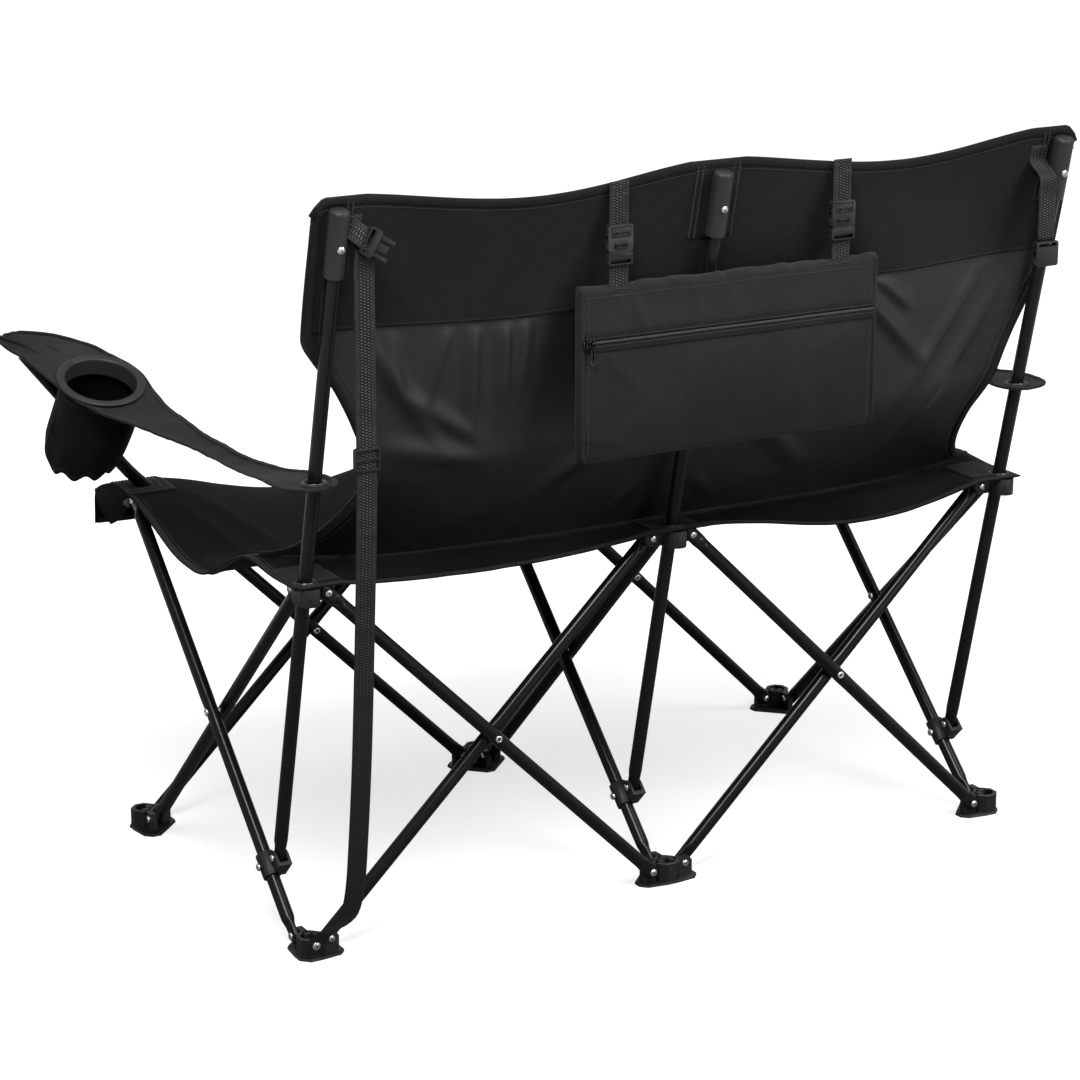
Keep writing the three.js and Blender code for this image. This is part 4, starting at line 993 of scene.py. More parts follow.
def seat_surface(x, y):
    crumpled = folds(x, y, SEAT_FOLDS) + 1.1 * ripple(x, y, 90)
    return seat_height(x, y) + crumpled * min(1, max(0, bump(bay_share(x), 0.6) + bump(bay_share(y), 0.8)))


def seat_rear_edge(x):
    return 23 - 14 * bump(bay_share(x), 0.7)


def seat_point(x, y):
    return Vector((x, y, seat_surface(x, y)))


def valance_point(x, drop):
    """The front of the seat where it turns down over the hubs. drop is from 0 to 1."""
    wave = 2.6 * math.sin(x / 17 + 1.4 * ripple(x, 0, 160, 3)) * drop
    out = 6 * math.sin(min(1, drop * 3) * math.pi / 2)
    return Vector((x, SEAT_FRONT - out + wave, seat_surface(x, SEAT_FRONT) - drop * VALANCE_DROP))


def side_flap(mesh, side):
    """The end of the valance, turned round the front corner of the seat."""
    def place(u, v):
        y = mixed(-BAY + 34, -BAY - 74, u)
        spot = seat_point(side * SEAT_HALF, max(y, SEAT_FRONT))
        drop = v * VALANCE_DROP * eased(u, 0, 0.85) ** 0.7
        return Vector((side * (SEAT_HALF + 1 - 16 * v * v), y + 8 * v * v, spot.z - drop))

    lay(mesh, 30, 12, place, material=2)


def seat_flank(mesh, side, start, end, count, width):
    """The bound edge down one side of the seat, and the stitches inside it."""
    ys = [mixed(start, end, i / count) for i in range(count + 1)]
    flank = [seat_point(side * (SEAT_HALF - 4.5), y) for y in ys]
    strip(mesh, flank, UP, width, 3.4, 12)
    stitches(mesh, [p + Vector((-side * 7.5, 0, 1.2)) for p in flank], UP, material=1)


class LoveseatSeat(bpy.types.Operator):
    """The seat cloth in two halves, its bound edges, valance, corner patches and tabs"""

    bl_idname = "loveseat.seat"
    bl_label = "Seat"

    def execute(self, context):
        sizes = context.scene.loveseat_sizes
        wall = sizes.cloth_thickness / MM
        hem = sizes.hem_width / MM
        middle = -BAY / 2
        mesh = bmesh.new()

        def rear(u, v):
            x = mixed(SEAT_HALF, -SEAT_HALF, u)
            return seat_point(x, mixed(seat_rear_edge(x), middle, v))

        lay(mesh, 150, 44, rear)
        rear_half = piece("seat_rear_cloth", mesh, ["Seat cloth"], "seat_rear_half",
                          ["seat_rear_half"], wall=wall)
        mesh = bmesh.new()

        def front(u, v):
            x = mixed(SEAT_HALF, -SEAT_HALF, u)
            if v <= 0.84:
                return seat_point(x, mixed(middle, SEAT_FRONT, v / 0.84))
            return valance_point(x, (v - 0.84) / 0.16)

        lay(mesh, 150, 75, front)
        front_half = piece("seat_front_cloth", mesh, ["Seat cloth"], "seat_front_half",
                           ["seat_front_half"], wall=wall)

        mesh = bmesh.new()
        xs = [mixed(SEAT_HALF - 4, -SEAT_HALF + 4, i / 160) for i in range(161)]
        edge = [seat_point(x, seat_rear_edge(x) - 4.5) for x in xs]
        strip(mesh, edge, UP, hem, 3.4, 12)
        stitches(mesh, [p + Vector((0, -7.5, 1.2)) for p in edge], UP, material=1)
        for side in (1, -1):
            seat_flank(mesh, side, 16, middle, 50, hem)
        rear_trim = piece("seat_rear_binding", mesh, BOUND, "seat_rear_half")

        mesh = bmesh.new()
        for side in (1, -1):
            seat_flank(mesh, side, middle, SEAT_FRONT + 2, 60, hem)
            side_flap(mesh, side)
        strip(mesh, [valance_point(x, 0.94) for x in xs], -BEHIND, 7, 3.2, 12)
        stitches(mesh, [valance_point(x, 0.72) - BEHIND for x in xs], -BEHIND, material=1)
        lip = [seat_point(x, SEAT_FRONT + 8) + UP for x in xs]
        stitches(mesh, lip, UP, material=1)
        looks = [*BOUND, "Seat cloth"]
        front_trim = piece("seat_front_binding", mesh, looks, "seat_front_half")

        mesh = bmesh.new()
        for x in (BAY - 8, 0, -BAY + 8):
            patch_on_seat(mesh, x, -BAY + 2, 72, 66)
        patches = piece("seat_front_patches", mesh, SEWN, "seat_front_half", wall=1.0)
        mesh = bmesh.new()
        for x in COLUMNS.values():
            patch_on_seat(mesh, x - math.copysign(10, x) * (x != 0), -24, 66, 62, ())
        tabs = piece("seat_rear_tabs", mesh, SEWN, "seat_rear_half", wall=1.0)
        for made in (rear_half, front_half, rear_trim, front_trim, patches, tabs):
            gathers(made)
        mesh = bmesh.new()
        for x in COLUMNS.values():
            at = placed(x, post_y(HUB_TOP + 3), HUB_TOP + 3.4)
            grommet(mesh, at, 8.6, 14.5)
        gathers(piece("seat_grommets", mesh, PRESSED, "seat_rear_half", sharp=40))
        return {"FINISHED"}


def patch_on_seat(mesh, x, y, width, depth, rows=(0.06, 0.2)):
    """A stitched doubling of the seat cloth over a hub."""
    def place(u, v):
        spot = Vector((x + (u - 0.5) * width, y + (v - 0.5) * depth, 0))
        spot.x = max(-SEAT_HALF + 3, min(SEAT_HALF - 3, spot.x))
        spot.z = seat_surface(spot.x, spot.y) + 1.5
        return spot

    lay(mesh, 14, 14, place)
    for inset in rows:
        far = 1 - inset
        ring = [(inset, inset), (far, inset), (far, far), (inset, far), (inset, inset)]
        for (a, b), (c, d) in zip(ring, ring[1:]):
            line = [place(mixed(a, c, i / 10), mixed(b, d, i / 10)) + Vector((0, 0, 0.9)) for i in range(11)]
            stitches(mesh, line, UP, material=1)


def grommet(mesh, at, bore, flange):
    """A pressed ring round a post, with a thin bright line where it is rolled over."""
    profile = [
        (bore, -1.2), (flange, -1.2), (flange, 0.2), (flange - 0.8, 1.1), (flange - 2.4, 1.7),
        (bore + 1.8, 1.7), (bore + 0.5, 1.2), (bore, 0.4), (bore, -1.2),
    ]
    turned(mesh, profile, 36, at)
    middle = (bore + flange) / 2
    turned(mesh, [(middle - 0.5, 1.5), (middle + 0.5, 1.5), (middle, 2.05), (middle - 0.5, 1.5)], 36, at, 1)


# Back

# Shares of the half width down each side of the back, the left one first
BACK_EDGE = [
    (0, 1, 1), (0.33, 1, 1), (0.38, 0.988, 0.99), (0.43, 0.96, 0.975), (0.49, 0.916, 0.955),
    (0.57, 0.873, 0.93), (0.63, 0.846, 0.915), (0.68, 0.826, 0.905), (0.77, 0.806, 0.885),
    (0.84, 0.82, 0.88), (0.91, 0.875, 0.905), (1, 0.978, 0.985),
]
SEAM_SHARE = 0.34
BACK_SAG = 17
HEM_RISE = 13
BACK_AHEAD = 13.8
BACK_FOLDS = [
    (430, 735, 330, 600, 10, 4.0), (400, 735, 380, 655, 8, 3.0), (330, 735, 352, 640, 7, 3.2),
    (300, 735, 290, 610, 8, 3.5), (262, 735, 250, 620, 7, 3.0), (235, 735, 232, 640, 7, 2.6),
    (400, 600, 260, 570, 14, 3.5), (370, 660, 270, 590, 10, 3.0),
    (-200, 735, -330, 620, 9, 3.6), (-240, 735, -300, 690, 7, 2.6), (-400, 735, -300, 560, 10, 3.0),
    (-430, 700, -330, 520, 12, 3.5), (60, 600, 180, 520, 12, 3.0), (-60, 600, -190, 500, 12, 3.0),
    (20, 520, 70, 470, 7, 3.0), (-20, 520, -70, 470, 7, 3.0),
]


def back_frame_point(x, forward, height):
    cosine, sine = math.cos(POST_LEAN), math.sin(POST_LEAN)
    return Vector((x, -forward * cosine + height * sine + BOLT_Y, forward * sine + height * cosine + BOLT_Z))


REARWARD = Vector((0, math.cos(POST_LEAN), -math.sin(POST_LEAN)))


def back_point(u, v, proud=0.0, rumple=1.0):
    """The back cloth from its top hem, v = 0, down to the seat, v = 1."""
    x = (2 * u - 1) * smooth_at(BACK_EDGE, v, 1 if u > 0.5 else 2) * BACK_HALF
    seam = 0.349 - 0.012 * bump(bay_share(x), 1)
    v += (seam - SEAM_SHARE) * (v / SEAM_SHARE if v < SEAM_SHARE else (1 - v) / (1 - SEAM_SHARE))
    corner = max(0, abs(x) - BACK_HALF + 16) ** 2 / 16
    bow = 13 * bump(bay_share(x), 2)
    lowered = eased(v, 0.7, 1)
    wing = abs(x / BACK_HALF) ** 4 * (80 if x > 0 else 54)
    forward = BACK_AHEAD - bow * (1 - lowered) + (34 - BACK_AHEAD) * lowered + wing * lowered
    bottom_y = -34 - wing
    bottom = Vector((x, bottom_y, seat_height(x, bottom_y) + 3 + GAP))
    top = POST_LENGTH + HEM_RISE - corner - BACK_SAG * bump(bay_share(x), 1.1)
    height = mixed(mixed(top, POST_LENGTH + HEM_RISE, v), (bottom.z - BOLT_Z) / math.cos(POST_LEAN), v)
    point = back_frame_point(x, forward, height).lerp(bottom, eased(v, 0.8, 1))
    slack = bump(bay_share(x), 0.5) if abs(x) < BAY else 0.4
    band = 0.35 if v < seam else 1
    crumple = 2.3 * folds(point.x, point.z, BACK_FOLDS) * eased(v, seam, seam + 0.03)
    crumple += 1.6 * ripple(point.x, point.z, 120, 2) * band
    return point + REARWARD * (proud + crumple * slack * rumple * (1 - eased(v, 0.86, 1)))


class LoveseatBack(bpy.types.Operator):
    """The back cloth and its upper band, hem, bound sides and stitched cap pockets"""

    bl_idname = "loveseat.back"
    bl_label = "Back"

    def execute(self, context):
        sizes = context.scene.loveseat_sizes
        wall = sizes.cloth_thickness / MM
        mesh = bmesh.new()
        lay(mesh, 190, 110, lambda u, v: back_point(1 - u, v))
        body = "back_post_centre"
        cloth = piece("back_cloth", mesh, ["Coated cloth"], body, ["back_panel"], wall=wall)
        mesh = bmesh.new()
        lay(mesh, 190, 40, lambda u, v: back_point(1 - u, v * SEAM_SHARE, 1.35))
        hem = [back_point(i / 190, 0.012, 1.2) for i in range(191)]
        seam = [back_point(i / 190, SEAM_SHARE - 0.008, 2.1) for i in range(191)]
        band = piece("back_band", mesh, ["Band cloth"], body, wall=wall)

        mesh = bmesh.new()
        strip(mesh, hem, REARWARD, sizes.hem_width / MM, 4.6, 12)
        stitches(mesh, [back_point(i / 190, 0.03, 2.3) for i in range(191)], REARWARD, material=1)
        stitches(mesh, seam, REARWARD, material=1)
        for side, inwards in ((0, 1), (1, -1)):
            route = [back_point(side + inwards * 0.008, i / 90, 1.2) for i in range(2, 91)]
            strip(mesh, route, REARWARD, sizes.hem_width / MM, 4.4, 12, material=2)
            inside = [back_point(side + inwards * 0.021, i / 90, 2.2) for i in range(2, 91)]
            stitches(mesh, inside, REARWARD, material=1)
        trim = piece("back_binding", mesh, [*SEWN, "Binding tape"], body)

        mesh = bmesh.new()
        for x in COLUMNS.values():
            cap_pocket(mesh, x)
        pockets = piece("back_cap_pockets", mesh, SEWN, body, wall=1.0)
        for made in (cloth, band, trim, pockets):
            gathers(made)
        return {"FINISHED"}


def cap_pocket(mesh, x):
    """The doubled cloth behind a post cap, with a double row of stitches down each side."""
    centre = (x / BACK_HALF + 1) / 2
    reach = 30 if x == 0 else 24

    def place(u, v):
        across = mixed(-reach, reach, u)
        return back_point(centre + across / (2 * BACK_HALF), mixed(0.015, 0.2, v), 2.6)

    if x == 0:
        lay(mesh, 16, 16, place)
        for u in (0.04, 0.16, 0.84, 0.96):
            line = [place(u, i / 20) + REARWARD * 0.9 for i in range(21)]
            stitches(mesh, line, REARWARD, material=1)
        return
    inner = -math.copysign(1, x)
    for offset in (15, 21):
        line = [
            back_point(centre + inner * offset / (2 * BACK_HALF), mixed(0.015, 0.2, i / 20), 2.4)
            for i in range(21)
        ]
        strip(mesh, line, REARWARD, 3.2, 1.6, 8)
        stitches(mesh, [p + REARWARD for p in line], REARWARD, material=1)


# Armrests and cup holders

ARM_OUTLINE = [
    (-54, -8, 18), (-44, -21, 34), (-26, -27, 41), (14, -19, 41), (60, -7, 37.5), (130, 2, 34),
    (200, 6, 39), (250, 10, 56), (296, 13, 78), (326, 16, 94), (362, 19, 118), (403, 21, 132),
    (450, 50, 146), (483, 91, 156), (496, 120, 158), (503, 140, 158),
]
ARM_PROFILE = [
    (-54, 568), (14, 568), (60, 563), (130, 560), (200, 562), (250, 567), (296, 574), (326, 580),
    (350, 589.8), (388, 605.3), (425, 620.4), (450, 630.6), (483, 644), (503, 651),
]
# Where the armrest flattens to carry the cup ring, and where it slackens again
FLAT_FROM = (316, 332)
FLAT_TO = (440, 455)


def arm_point(side, u, v, proud=0.0):
    """The armrest from its eyelet, v = 0, to the arm tube's tip, v = 1. u runs outwards."""
    forward = mixed(ARM_REAR, ARM_TIP, v)
    inner, outer = (smooth_at(ARM_OUTLINE, forward, column) for column in (1, 2))
    x = BAY + mixed(inner, outer, u)
    flat = eased(forward, *FLAT_FROM) * (1 - eased(forward, *FLAT_TO))
    crumple = 1.5 * ripple(x * side, forward, 46, 5 + side) * (1 - flat) * eased(forward, 20, 60)
    sag = 3.5 * bump(u) * bump(share_of(forward, 30, 316)) - 1.6 * abs(2 * u - 1) ** 3 * (1 - flat)
    sag += 8 * eased(u, 0.55, 1) * eased(forward, 420, 500)
    return Vector((x * side, -forward, smooth_at(ARM_PROFILE, forward) - sag + crumple + proud))


def cup_frame(side):
    return placed(side * CUP_CENTRE.x, CUP_CENTRE.y, CUP_CENTRE.z, (-CUP_TILT, 0, 0))


EYELET = [
    (9.4, -3.3), (15, -3.3), (15.5, -2.6), (14.5, -1.8), (11.6, -1.8), (11.6, 1), (9.4, 1), (9.4, -3.3),
]


class LoveseatArmrests(bpy.types.Operator):
    """The armrest cloths, bound all round, with their grommets and the pouches on the arm tubes"""

    bl_idname = "loveseat.armrests"
    bl_label = "Armrests"

    def execute(self, context):
        sizes = context.scene.loveseat_sizes
        for name, side in SIDES.items():
            body = f"armrest_{name}"
            eyelet = placed(side * BAY, post_y(EYELET_HEIGHT), EYELET_HEIGHT)
            mesh = bmesh.new()
            lay(mesh, 36, 110, lambda u, v: arm_point(side, u if side > 0 else 1 - u, v))
            holes = (
                (cup_frame(side).inverted(), 46.5, 45.6),
                (eyelet.inverted(), 12.4, 11.9),
            )
            for inwards, cut, rim in holes:
                gone = [f for f in mesh.faces if (inwards @ f.calc_center_median()).to_2d().length < cut]
                bmesh.ops.delete(mesh, geom=gone, context="FACES")
                for vert in mesh.verts:
                    spot = inwards @ vert.co
                    if vert.is_boundary and spot.to_2d().length < cut + 6 and abs(spot.z) < 20:
                        level = spot.to_2d().normalized() * rim
                        vert.co = inwards.inverted() @ Vector((level.x, level.y, spot.z))
            wall = sizes.cloth_thickness / MM
            cloth = piece(f"{body}_cloth", mesh, ["Armrest cloth"], body, [body], wall=wall)
            mesh = bmesh.new()
            steps = 90
            around = (
                [(0.02, i / steps) for i in range(steps)]
                + [(i / 14, 0.995) for i in range(15)]
                + [(0.98, 1 - i / steps) for i in range(1, steps)]
                + [(1 - i / 14, 0.004) for i in range(15)]
            )
            route = [arm_point(side, u, v) for u, v in around]
            rough = [p + Vector((0, 0, 0.5 * ripple(p.x, p.y, 9, 1))) for p in route]
            strip(mesh, rough, UP, sizes.hem_width / MM * 0.8, 3.6, 12)
            for inset in (0.05, 0.95):
                line = [arm_point(side, inset, i / 100, 1.2) for i in range(3, 98)]
                stitches(mesh, line, UP, material=1)
            trim = piece(f"{body}_binding", mesh, BOUND, body)
            mesh = bmesh.new()
            tip_pouch(mesh, side)
            pouch = piece(f"{body}_pouch", mesh, ["Armrest cloth", "Thread"], body, wall=1.2)
            tip = TO_ROW @ arm_point(side, 0.5, 1)
            for made in (cloth, trim, pouch):
                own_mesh(made)
            mesh = bmesh.new()
            grommet(mesh, placed(side * BAY, post_y(EYELET_HEIGHT), EYELET_HEIGHT + 2.2), 9.4, 15.5)
            turned(mesh, EYELET, 36, eyelet)
            body = f"armrest_eyelet_{name}"
            piece(f"{body}_pressed", mesh, PRESSED, body, [body], sharp=40)
        return {"FINISHED"}


def tip_pouch(mesh, side):
    """A stitched sleeve under the armrest's tip that takes the end of the arm tube."""
    def place(u, v):
        forward = mixed(455, 501, v)
        angle = mixed(-0.1, 1.1, u) * math.pi
        middle = arm_point(side, 0.62, share_of(forward, ARM_REAR, ARM_TIP))
        across = 13 - 3 * v
        return middle + Vector((across * math.cos(angle), 0, -1 - (11 - 4 * v) * math.sin(angle)))

    lay(mesh, 20, 12, place)
    line = [place(0.06, i / 12) for i in range(13)]
    stitches(mesh, line, -UP, material=1)


RING = [
    (42, -16), (44.4, -16), (44.4, 1.8), (52.6, 1.8), (53, 2.3), (53, 3.6), (52.4, 4.4), (51.6, 4.7),
    (45.4, 5.0), (44.4, 4.8), (43.2, 3.9), (42.2, 1.8), (42, -16),
]
BAG = [
    (0, 47.6), (0.12, 49), (0.3, 50), (0.5, 49.5), (0.68, 47), (0.8, 41), (0.88, 33), (0.95, 18), (1, 0),
]


class LoveseatCups(bpy.types.Operator):
    """The cup holders: a moulded ring over a pleated bag"""

    bl_idname = "loveseat.cups"
    bl_label = "Cup holders"

    def execute(self, context):
        for name, side in SIDES.items():
            body = f"cup_holder_{name}"
            at = cup_frame(side)
            mesh = bmesh.new()
            turned(mesh, RING, 72, at)
            ring = f"cup_ring_{name}"
            piece(f"{ring}_moulded", mesh, ["Slate moulding"], body, [ring], sharp=40)
            mesh = bmesh.new()

            def place(u, v):
                angle = u * math.tau
                low = eased(v, 0.3, 0.8)
                lobes = math.cos(9 * angle + 0.5 * side)
                radius = smooth_at(BAG, v) * (1 + 0.035 * lobes * low)
                drop = 4 + 107 * min(1, v / 0.82) - 5 * lobes * low * (1 - eased(v, 0.85, 1))
                drop += 2 * math.sin(2 * angle + 1) * bump(v)
                spot = Vector((radius * math.cos(angle), radius * math.sin(angle), -drop))
                spot += Vector((1, 1, 0)) * 0.8 * ripple(angle * 9, v * 60, 14, side)
                spot.x += side * 13 * eased(v, 0.1, 0.9)
                return at @ spot

            faces = lay(mesh, 96, 46, place, closed=True)
            bmesh.ops.recalc_face_normals(mesh, faces=faces)
            node = f"cup_bag_{name}"
            # The bag takes the seat's cloth, at 0.3 of the cloth colour: painted shade.
            bag = piece(f"{node}_cloth", mesh, ["Seat cloth"], body, [node], wall=1.2)
            mesh = bmesh.new()
            for share in (0.05, 0.76):
                line = [place(i / 96, share) for i in range(97)]
                centre = sum(line, Vector()) / len(line)
                line = [p + (p - centre).normalized() * 0.7 for p in line]
                stitches(mesh, line, [(p - centre).normalized() for p in line], material=0)
            thread = piece(f"{node}_thread", mesh, ["Thread"], body)
            for made in (bag, thread):
                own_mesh(made)
        return {"FINISHED"}


# Pocket, webbing and buckles

POCKET_CORNER = 12
POCKET_FOLDS = [
    (160, 585, 90, 630, 7, 2.4), (185, 600, 130, 590, 6, 2.0), (120, 760, 100, 715, 7, 1.6),
    (-60, 600, -160, 640, 9, 1.8), (-150, 585, -190, 620, 6, 2.0), (40, 765, 30, 720, 6, 1.4),
    (-180, 690, -120, 660, 8, 1.6), (150, 690, 100, 640, 9, 1.8),
]


def pocket_point(u, v, proud=0.0):
    """The front of the pocket, rounded at its lower corners and rolled in along its edges."""
    low = mixed(POCKET_TOP, POCKET_LOW, v)
    short = max(0, POCKET_CORNER - (low - POCKET_LOW))
    inset = POCKET_CORNER - math.sqrt(max(0, POCKET_CORNER**2 - short**2))
    side = 2 * u - 1
    x = POCKET_SHIFT + side * (POCKET_HALF + 0.5 - inset)
    edge = min((1 - abs(side)) * POCKET_HALF, low - POCKET_LOW, (POCKET_TOP - low) * 1.3)
    roll = math.sqrt(max(0, 1 - max(0, 1 - edge / 7) ** 2))
    pucker = 0.9 * math.sin(x / 7 + 3 * ripple(x, 0, 45)) * math.exp(-((POCKET_TOP - low) / 9) ** 2)
    swell = 3.2 * bump((x - POCKET_SHIFT + POCKET_HALF) / (2 * POCKET_HALF), 0.6)
    swell *= bump((low - POCKET_LOW) / (POCKET_TOP - POCKET_LOW), 0.7)
    crumple = folds(x, low, POCKET_FOLDS) + 0.9 * ripple(x, low, 70, 9)
    out = -4.4 + 6.5 * roll + 0.45 * swell + crumple * roll
    hem = 0.5 * math.sin(x / 23 + 1) * math.exp(-((POCKET_TOP - low) / 22) ** 2)
    return Vector((x, STRAP_PLANE + out + proud + 0.6 * pucker, low + pucker - hem))


class LoveseatPocket(bpy.types.Operator):
    """The storage pocket with its zip, piping, tabs and stitched edges"""

    bl_idname = "loveseat.pocket"
    bl_label = "Storage pocket"

    def execute(self, context):
        wall = context.scene.loveseat_sizes.cloth_thickness / MM
        mesh = bmesh.new()
        lay(mesh, 120, 66, lambda u, v: pocket_point(1 - u, v))
        front = piece("storage_pocket_cloth", mesh, ["Pocket cloth"], "pocket", ["storage_pocket"],
                      wall=wall)
        mesh = bmesh.new()

        def lining_point(u, v):
            height = mixed(POCKET_TOP - 2, POCKET_LOW + 2, v)
            return Vector((POCKET_SHIFT + 199 - 398 * u, STRAP_PLANE - 3.6, height))

        lay(mesh, 40, 20, lining_point)
        lining = piece("storage_pocket_lining", mesh, ["Band cloth"], "pocket", wall=1.0)
        mesh = bmesh.new()
        for edge in (0.012, 0.988):
            strip(mesh, [pocket_point(edge, i / 60, 0.4) for i in range(1, 60)], BEHIND, 4.2, 3.4, 10)
        for edge in (0.03, 0.97):
            stitches(mesh, [pocket_point(edge, i / 60, 1.0) for i in range(3, 58)], BEHIND, material=1)
        top = [pocket_point(i / 120, 0.06, 1.0) for i in range(2, 119)]
        stitches(mesh, top, BEHIND, material=1)
        for side_x in STRAP_X.values():
            for height in (766, 759):
                down = (POCKET_TOP - height) / (POCKET_TOP - POCKET_LOW)
                starts = [side_x - 11 + i * 2.2 - POCKET_SHIFT + POCKET_HALF for i in range(11)]
                line = [pocket_point(start / (2 * POCKET_HALF), down, 1.0) for start in starts]
                stitches(mesh, line, BEHIND, material=1)
        trim = piece("storage_pocket_piping", mesh, ["Pocket cloth", "Thread"], "pocket")

        mesh = bmesh.new()
        zip_v = (POCKET_TOP - ZIP_HEIGHT) / (POCKET_TOP - POCKET_LOW)
        for offset in (-0.034, 0.034):
            line = [pocket_point(i / 120, zip_v + offset, 1.3) for i in range(2, 119)]
            strip(mesh, line, BEHIND, 9.0, 1.8, 10)
            inner = Vector((0, 1.1, math.copysign(2.2, offset)))
            stitches(mesh, [p + inner for p in line], BEHIND, material=1)
        line = [pocket_point(i / 120, zip_v, 1.6) for i in range(2, 119)]
        strip(mesh, line, BEHIND, 3.0, 1.8, 10, material=2)
        zipped = piece("pocket_zip", mesh, [*SEWN, "Zip coil"], "pocket")
        mesh = bmesh.new()
        for side_x in STRAP_X.values():
            tab = [Vector((side_x, STRAP_PLANE + 0.2 * math.sin(i), 792.5 - 3 * i)) for i in range(12)]
            strip(mesh, tab, BEHIND, WEBBING, 1.8, 16)
        tabs = piece("pocket_tabs", mesh, ["Webbing"], "pocket")
        for made in (front, lining, trim, zipped, tabs):
            gathers(made)

        zip_face = STRAP_PLANE + 5.7
        mesh = bmesh.new()
        block(mesh, (5, 4, 9), placed(183.5, zip_face + 2, ZIP_HEIGHT), 1.2, 1, 0.5)
        piece("pocket_zip_stop_metal", mesh, ["Black moulding"], "zip_end", ["pocket_zip_stop"])
        mesh = bmesh.new()
        x = 174
        block(mesh, (9, 2.4, 8), placed(x, zip_face + 1.2, ZIP_HEIGHT), 2.4, 1, 0.5)
        block(mesh, (2.6, 3.4, 6), placed(x, zip_face + 3.2, ZIP_HEIGHT - 1), 1.0, 0, 0.5)
        block(mesh, (5, 1.6, 14), placed(x, zip_face + 3.4, ZIP_HEIGHT - 12.5), 1.6, 1, 0.4)
        ring = placed(x, zip_face + 2.4, ZIP_HEIGHT - 21.5, (-math.pi / 2, 0, 0))
        turned(mesh, [(1.6, 0), (3.1, 0), (3.3, 0.9), (3.1, 1.8), (1.6, 1.8), (1.6, 0)], 24, ring)
        piece("pocket_zip_slider_metal", mesh, ["Black moulding"], "zip_slider",
              ["pocket_zip_slider"])
        return {"FINISHED"}


class LoveseatPocketStraps(bpy.types.Operator):
    """The two short straps that the pocket hangs from, and their buckles"""

    bl_idname = "loveseat.pocket_straps"
    bl_label = "Pocket straps and buckles"

    def execute(self, context):
        for name, x in STRAP_X.items():
            body = f"pocket_strap_{name}"
            mesh = bmesh.new()
            route = [Vector((x, STRAP_PLANE, 886 - 3.0 * i)) for i in range(18)]
            strip(mesh, route, BEHIND, WEBBING, 1.8, 16)
            wrap = [(0, 838), (2.6, 835.5), (5.3, 832), (5.6, 828), (4.4, 825), (2, 823), (0, 824.5)]
            loop = along_route([(x, STRAP_PLANE + y, z) for y, z in wrap], 2)
            strip(mesh, loop, UP, WEBBING, 1.6, 12)
            for height in (880, 872):
                line = [Vector((x - 11 + 2.2 * i, STRAP_PLANE + 1.2, height)) for i in range(11)]
                stitches(mesh, line, BEHIND, material=1)
            piece(f"{body}_webbing", mesh, ["Webbing", "Thread"], body, [body])
            for half, rides in (("socket", body), ("plug", f"pocket_plug_{name}")):
                node = f"pocket_buckle_{half}_{name}"
                mesh = copy_of(node)
                if half == "socket":
                    block(mesh, (17, 1.2, 9), placed(x, STRAP_PLANE + 4.8, 815), 2.5, 1, 0.4)
                piece(f"{node}_moulded", mesh, ["Black moulding"], rides, [node], rounding=0.8)
        return {"FINISHED"}


def hang_start(side):
    def behind(z):
        return post_y(z) - 12.3 / math.cos(POST_LEAN) + 0.6 + 0.9

    return [
        (side * HANG_X, behind(876), 876), (side * HANG_X, behind(858), 858),
        (side * HANG_X, HANG_Y, 840.2), (side * HANG_X, HANG_Y, 822.2),
    ]


CARRY_ROUTE = hang_start(1) + [
    (HANG_X, HANG_Y, 639.4), (HANG_X, HANG_Y, 578.1), (HANG_X, 99, 400.3), (HANG_X, 88, 260.2),
    (455.01, 75.9, 149.8), (455.77, 68.2, 99.86), (458.07, 57.2, 67.45), (463.17, 40.7, 49.05),
    (471.33, 26.4, 37.67), (477.96, 18.15, 25.4), (BAY, 17, 10),
]


def webbing_line(mesh, route, widths=WEBBING):
    """Webbing along a route, level across, thick in the plane of its fall."""
    normals = []
    for i in range(len(route)):
        way = (route[min(len(route) - 1, i + 1)] - route[max(0, i - 1)]).normalized()
        normals.append(way.cross(Vector((1, 0, 0))).normalized())
    strip(mesh, route, normals, widths, 1.8, 16)


class LoveseatCarryStrap(bpy.types.Operator):
    """The carry strap that hangs from the left post to the rear foot, with its ladder lock"""

    bl_idname = "loveseat.carry_strap"
    bl_label = "Carry strap"

    def execute(self, context):
        mesh = bmesh.new()
        route = along_route(CARRY_ROUTE, 9)
        webbing_line(mesh, route, [WEBBING - 9 * (1 - eased(p.z, 852, 826)) * (p.z > 826) for p in route])
        strap = piece("carry_strap_webbing", mesh, ["Webbing"], "carry_strap", ["carry_strap"])
        path = [TO_ROW @ p for p in route]
        length = sum((b - a).length for a, b in zip(path, path[1:]))
        lock = moulded_copy("carry_strap_ladder_lock", "ladder_lock", "ladder_lock")
        tuple(path[0])
        [tuple(p) for p in path]
        return {"FINISHED"}


class LoveseatClosingStrap(bpy.types.Operator):
    """The strap and buckle that hold the loveseat closed, hanging loose at the two outer posts"""

    bl_idname = "loveseat.closing_strap"
    bl_label = "Closing strap"

    def execute(self, context):
        mesh = bmesh.new()
        route = along_route([*hang_start(-1), (-HANG_X, HANG_Y, 764)], 6)
        webbing_line(mesh, route)
        piece("closing_strap_webbing", mesh, ["Webbing"], "back_post_right", ["closing_strap"])
        moulded_copy("closing_buckle_socket", "back_post_right")
        moulded_copy("closing_buckle_plug", "back_post_left")
        mesh = bmesh.new()
        turns = [(467, 99, 866), (463, 106, 862), (458, 113, 857), (452, 116, 851.5), (449, 117.5, 849)]
        loop = along_route(turns, 3)
        strip(mesh, loop, Vector((0, 1, 0.2)), 24, 1.8, 14)
        piece("closing_plug_loop", mesh, ["Webbing"], "back_post_left")
        return {"FINISHED"}


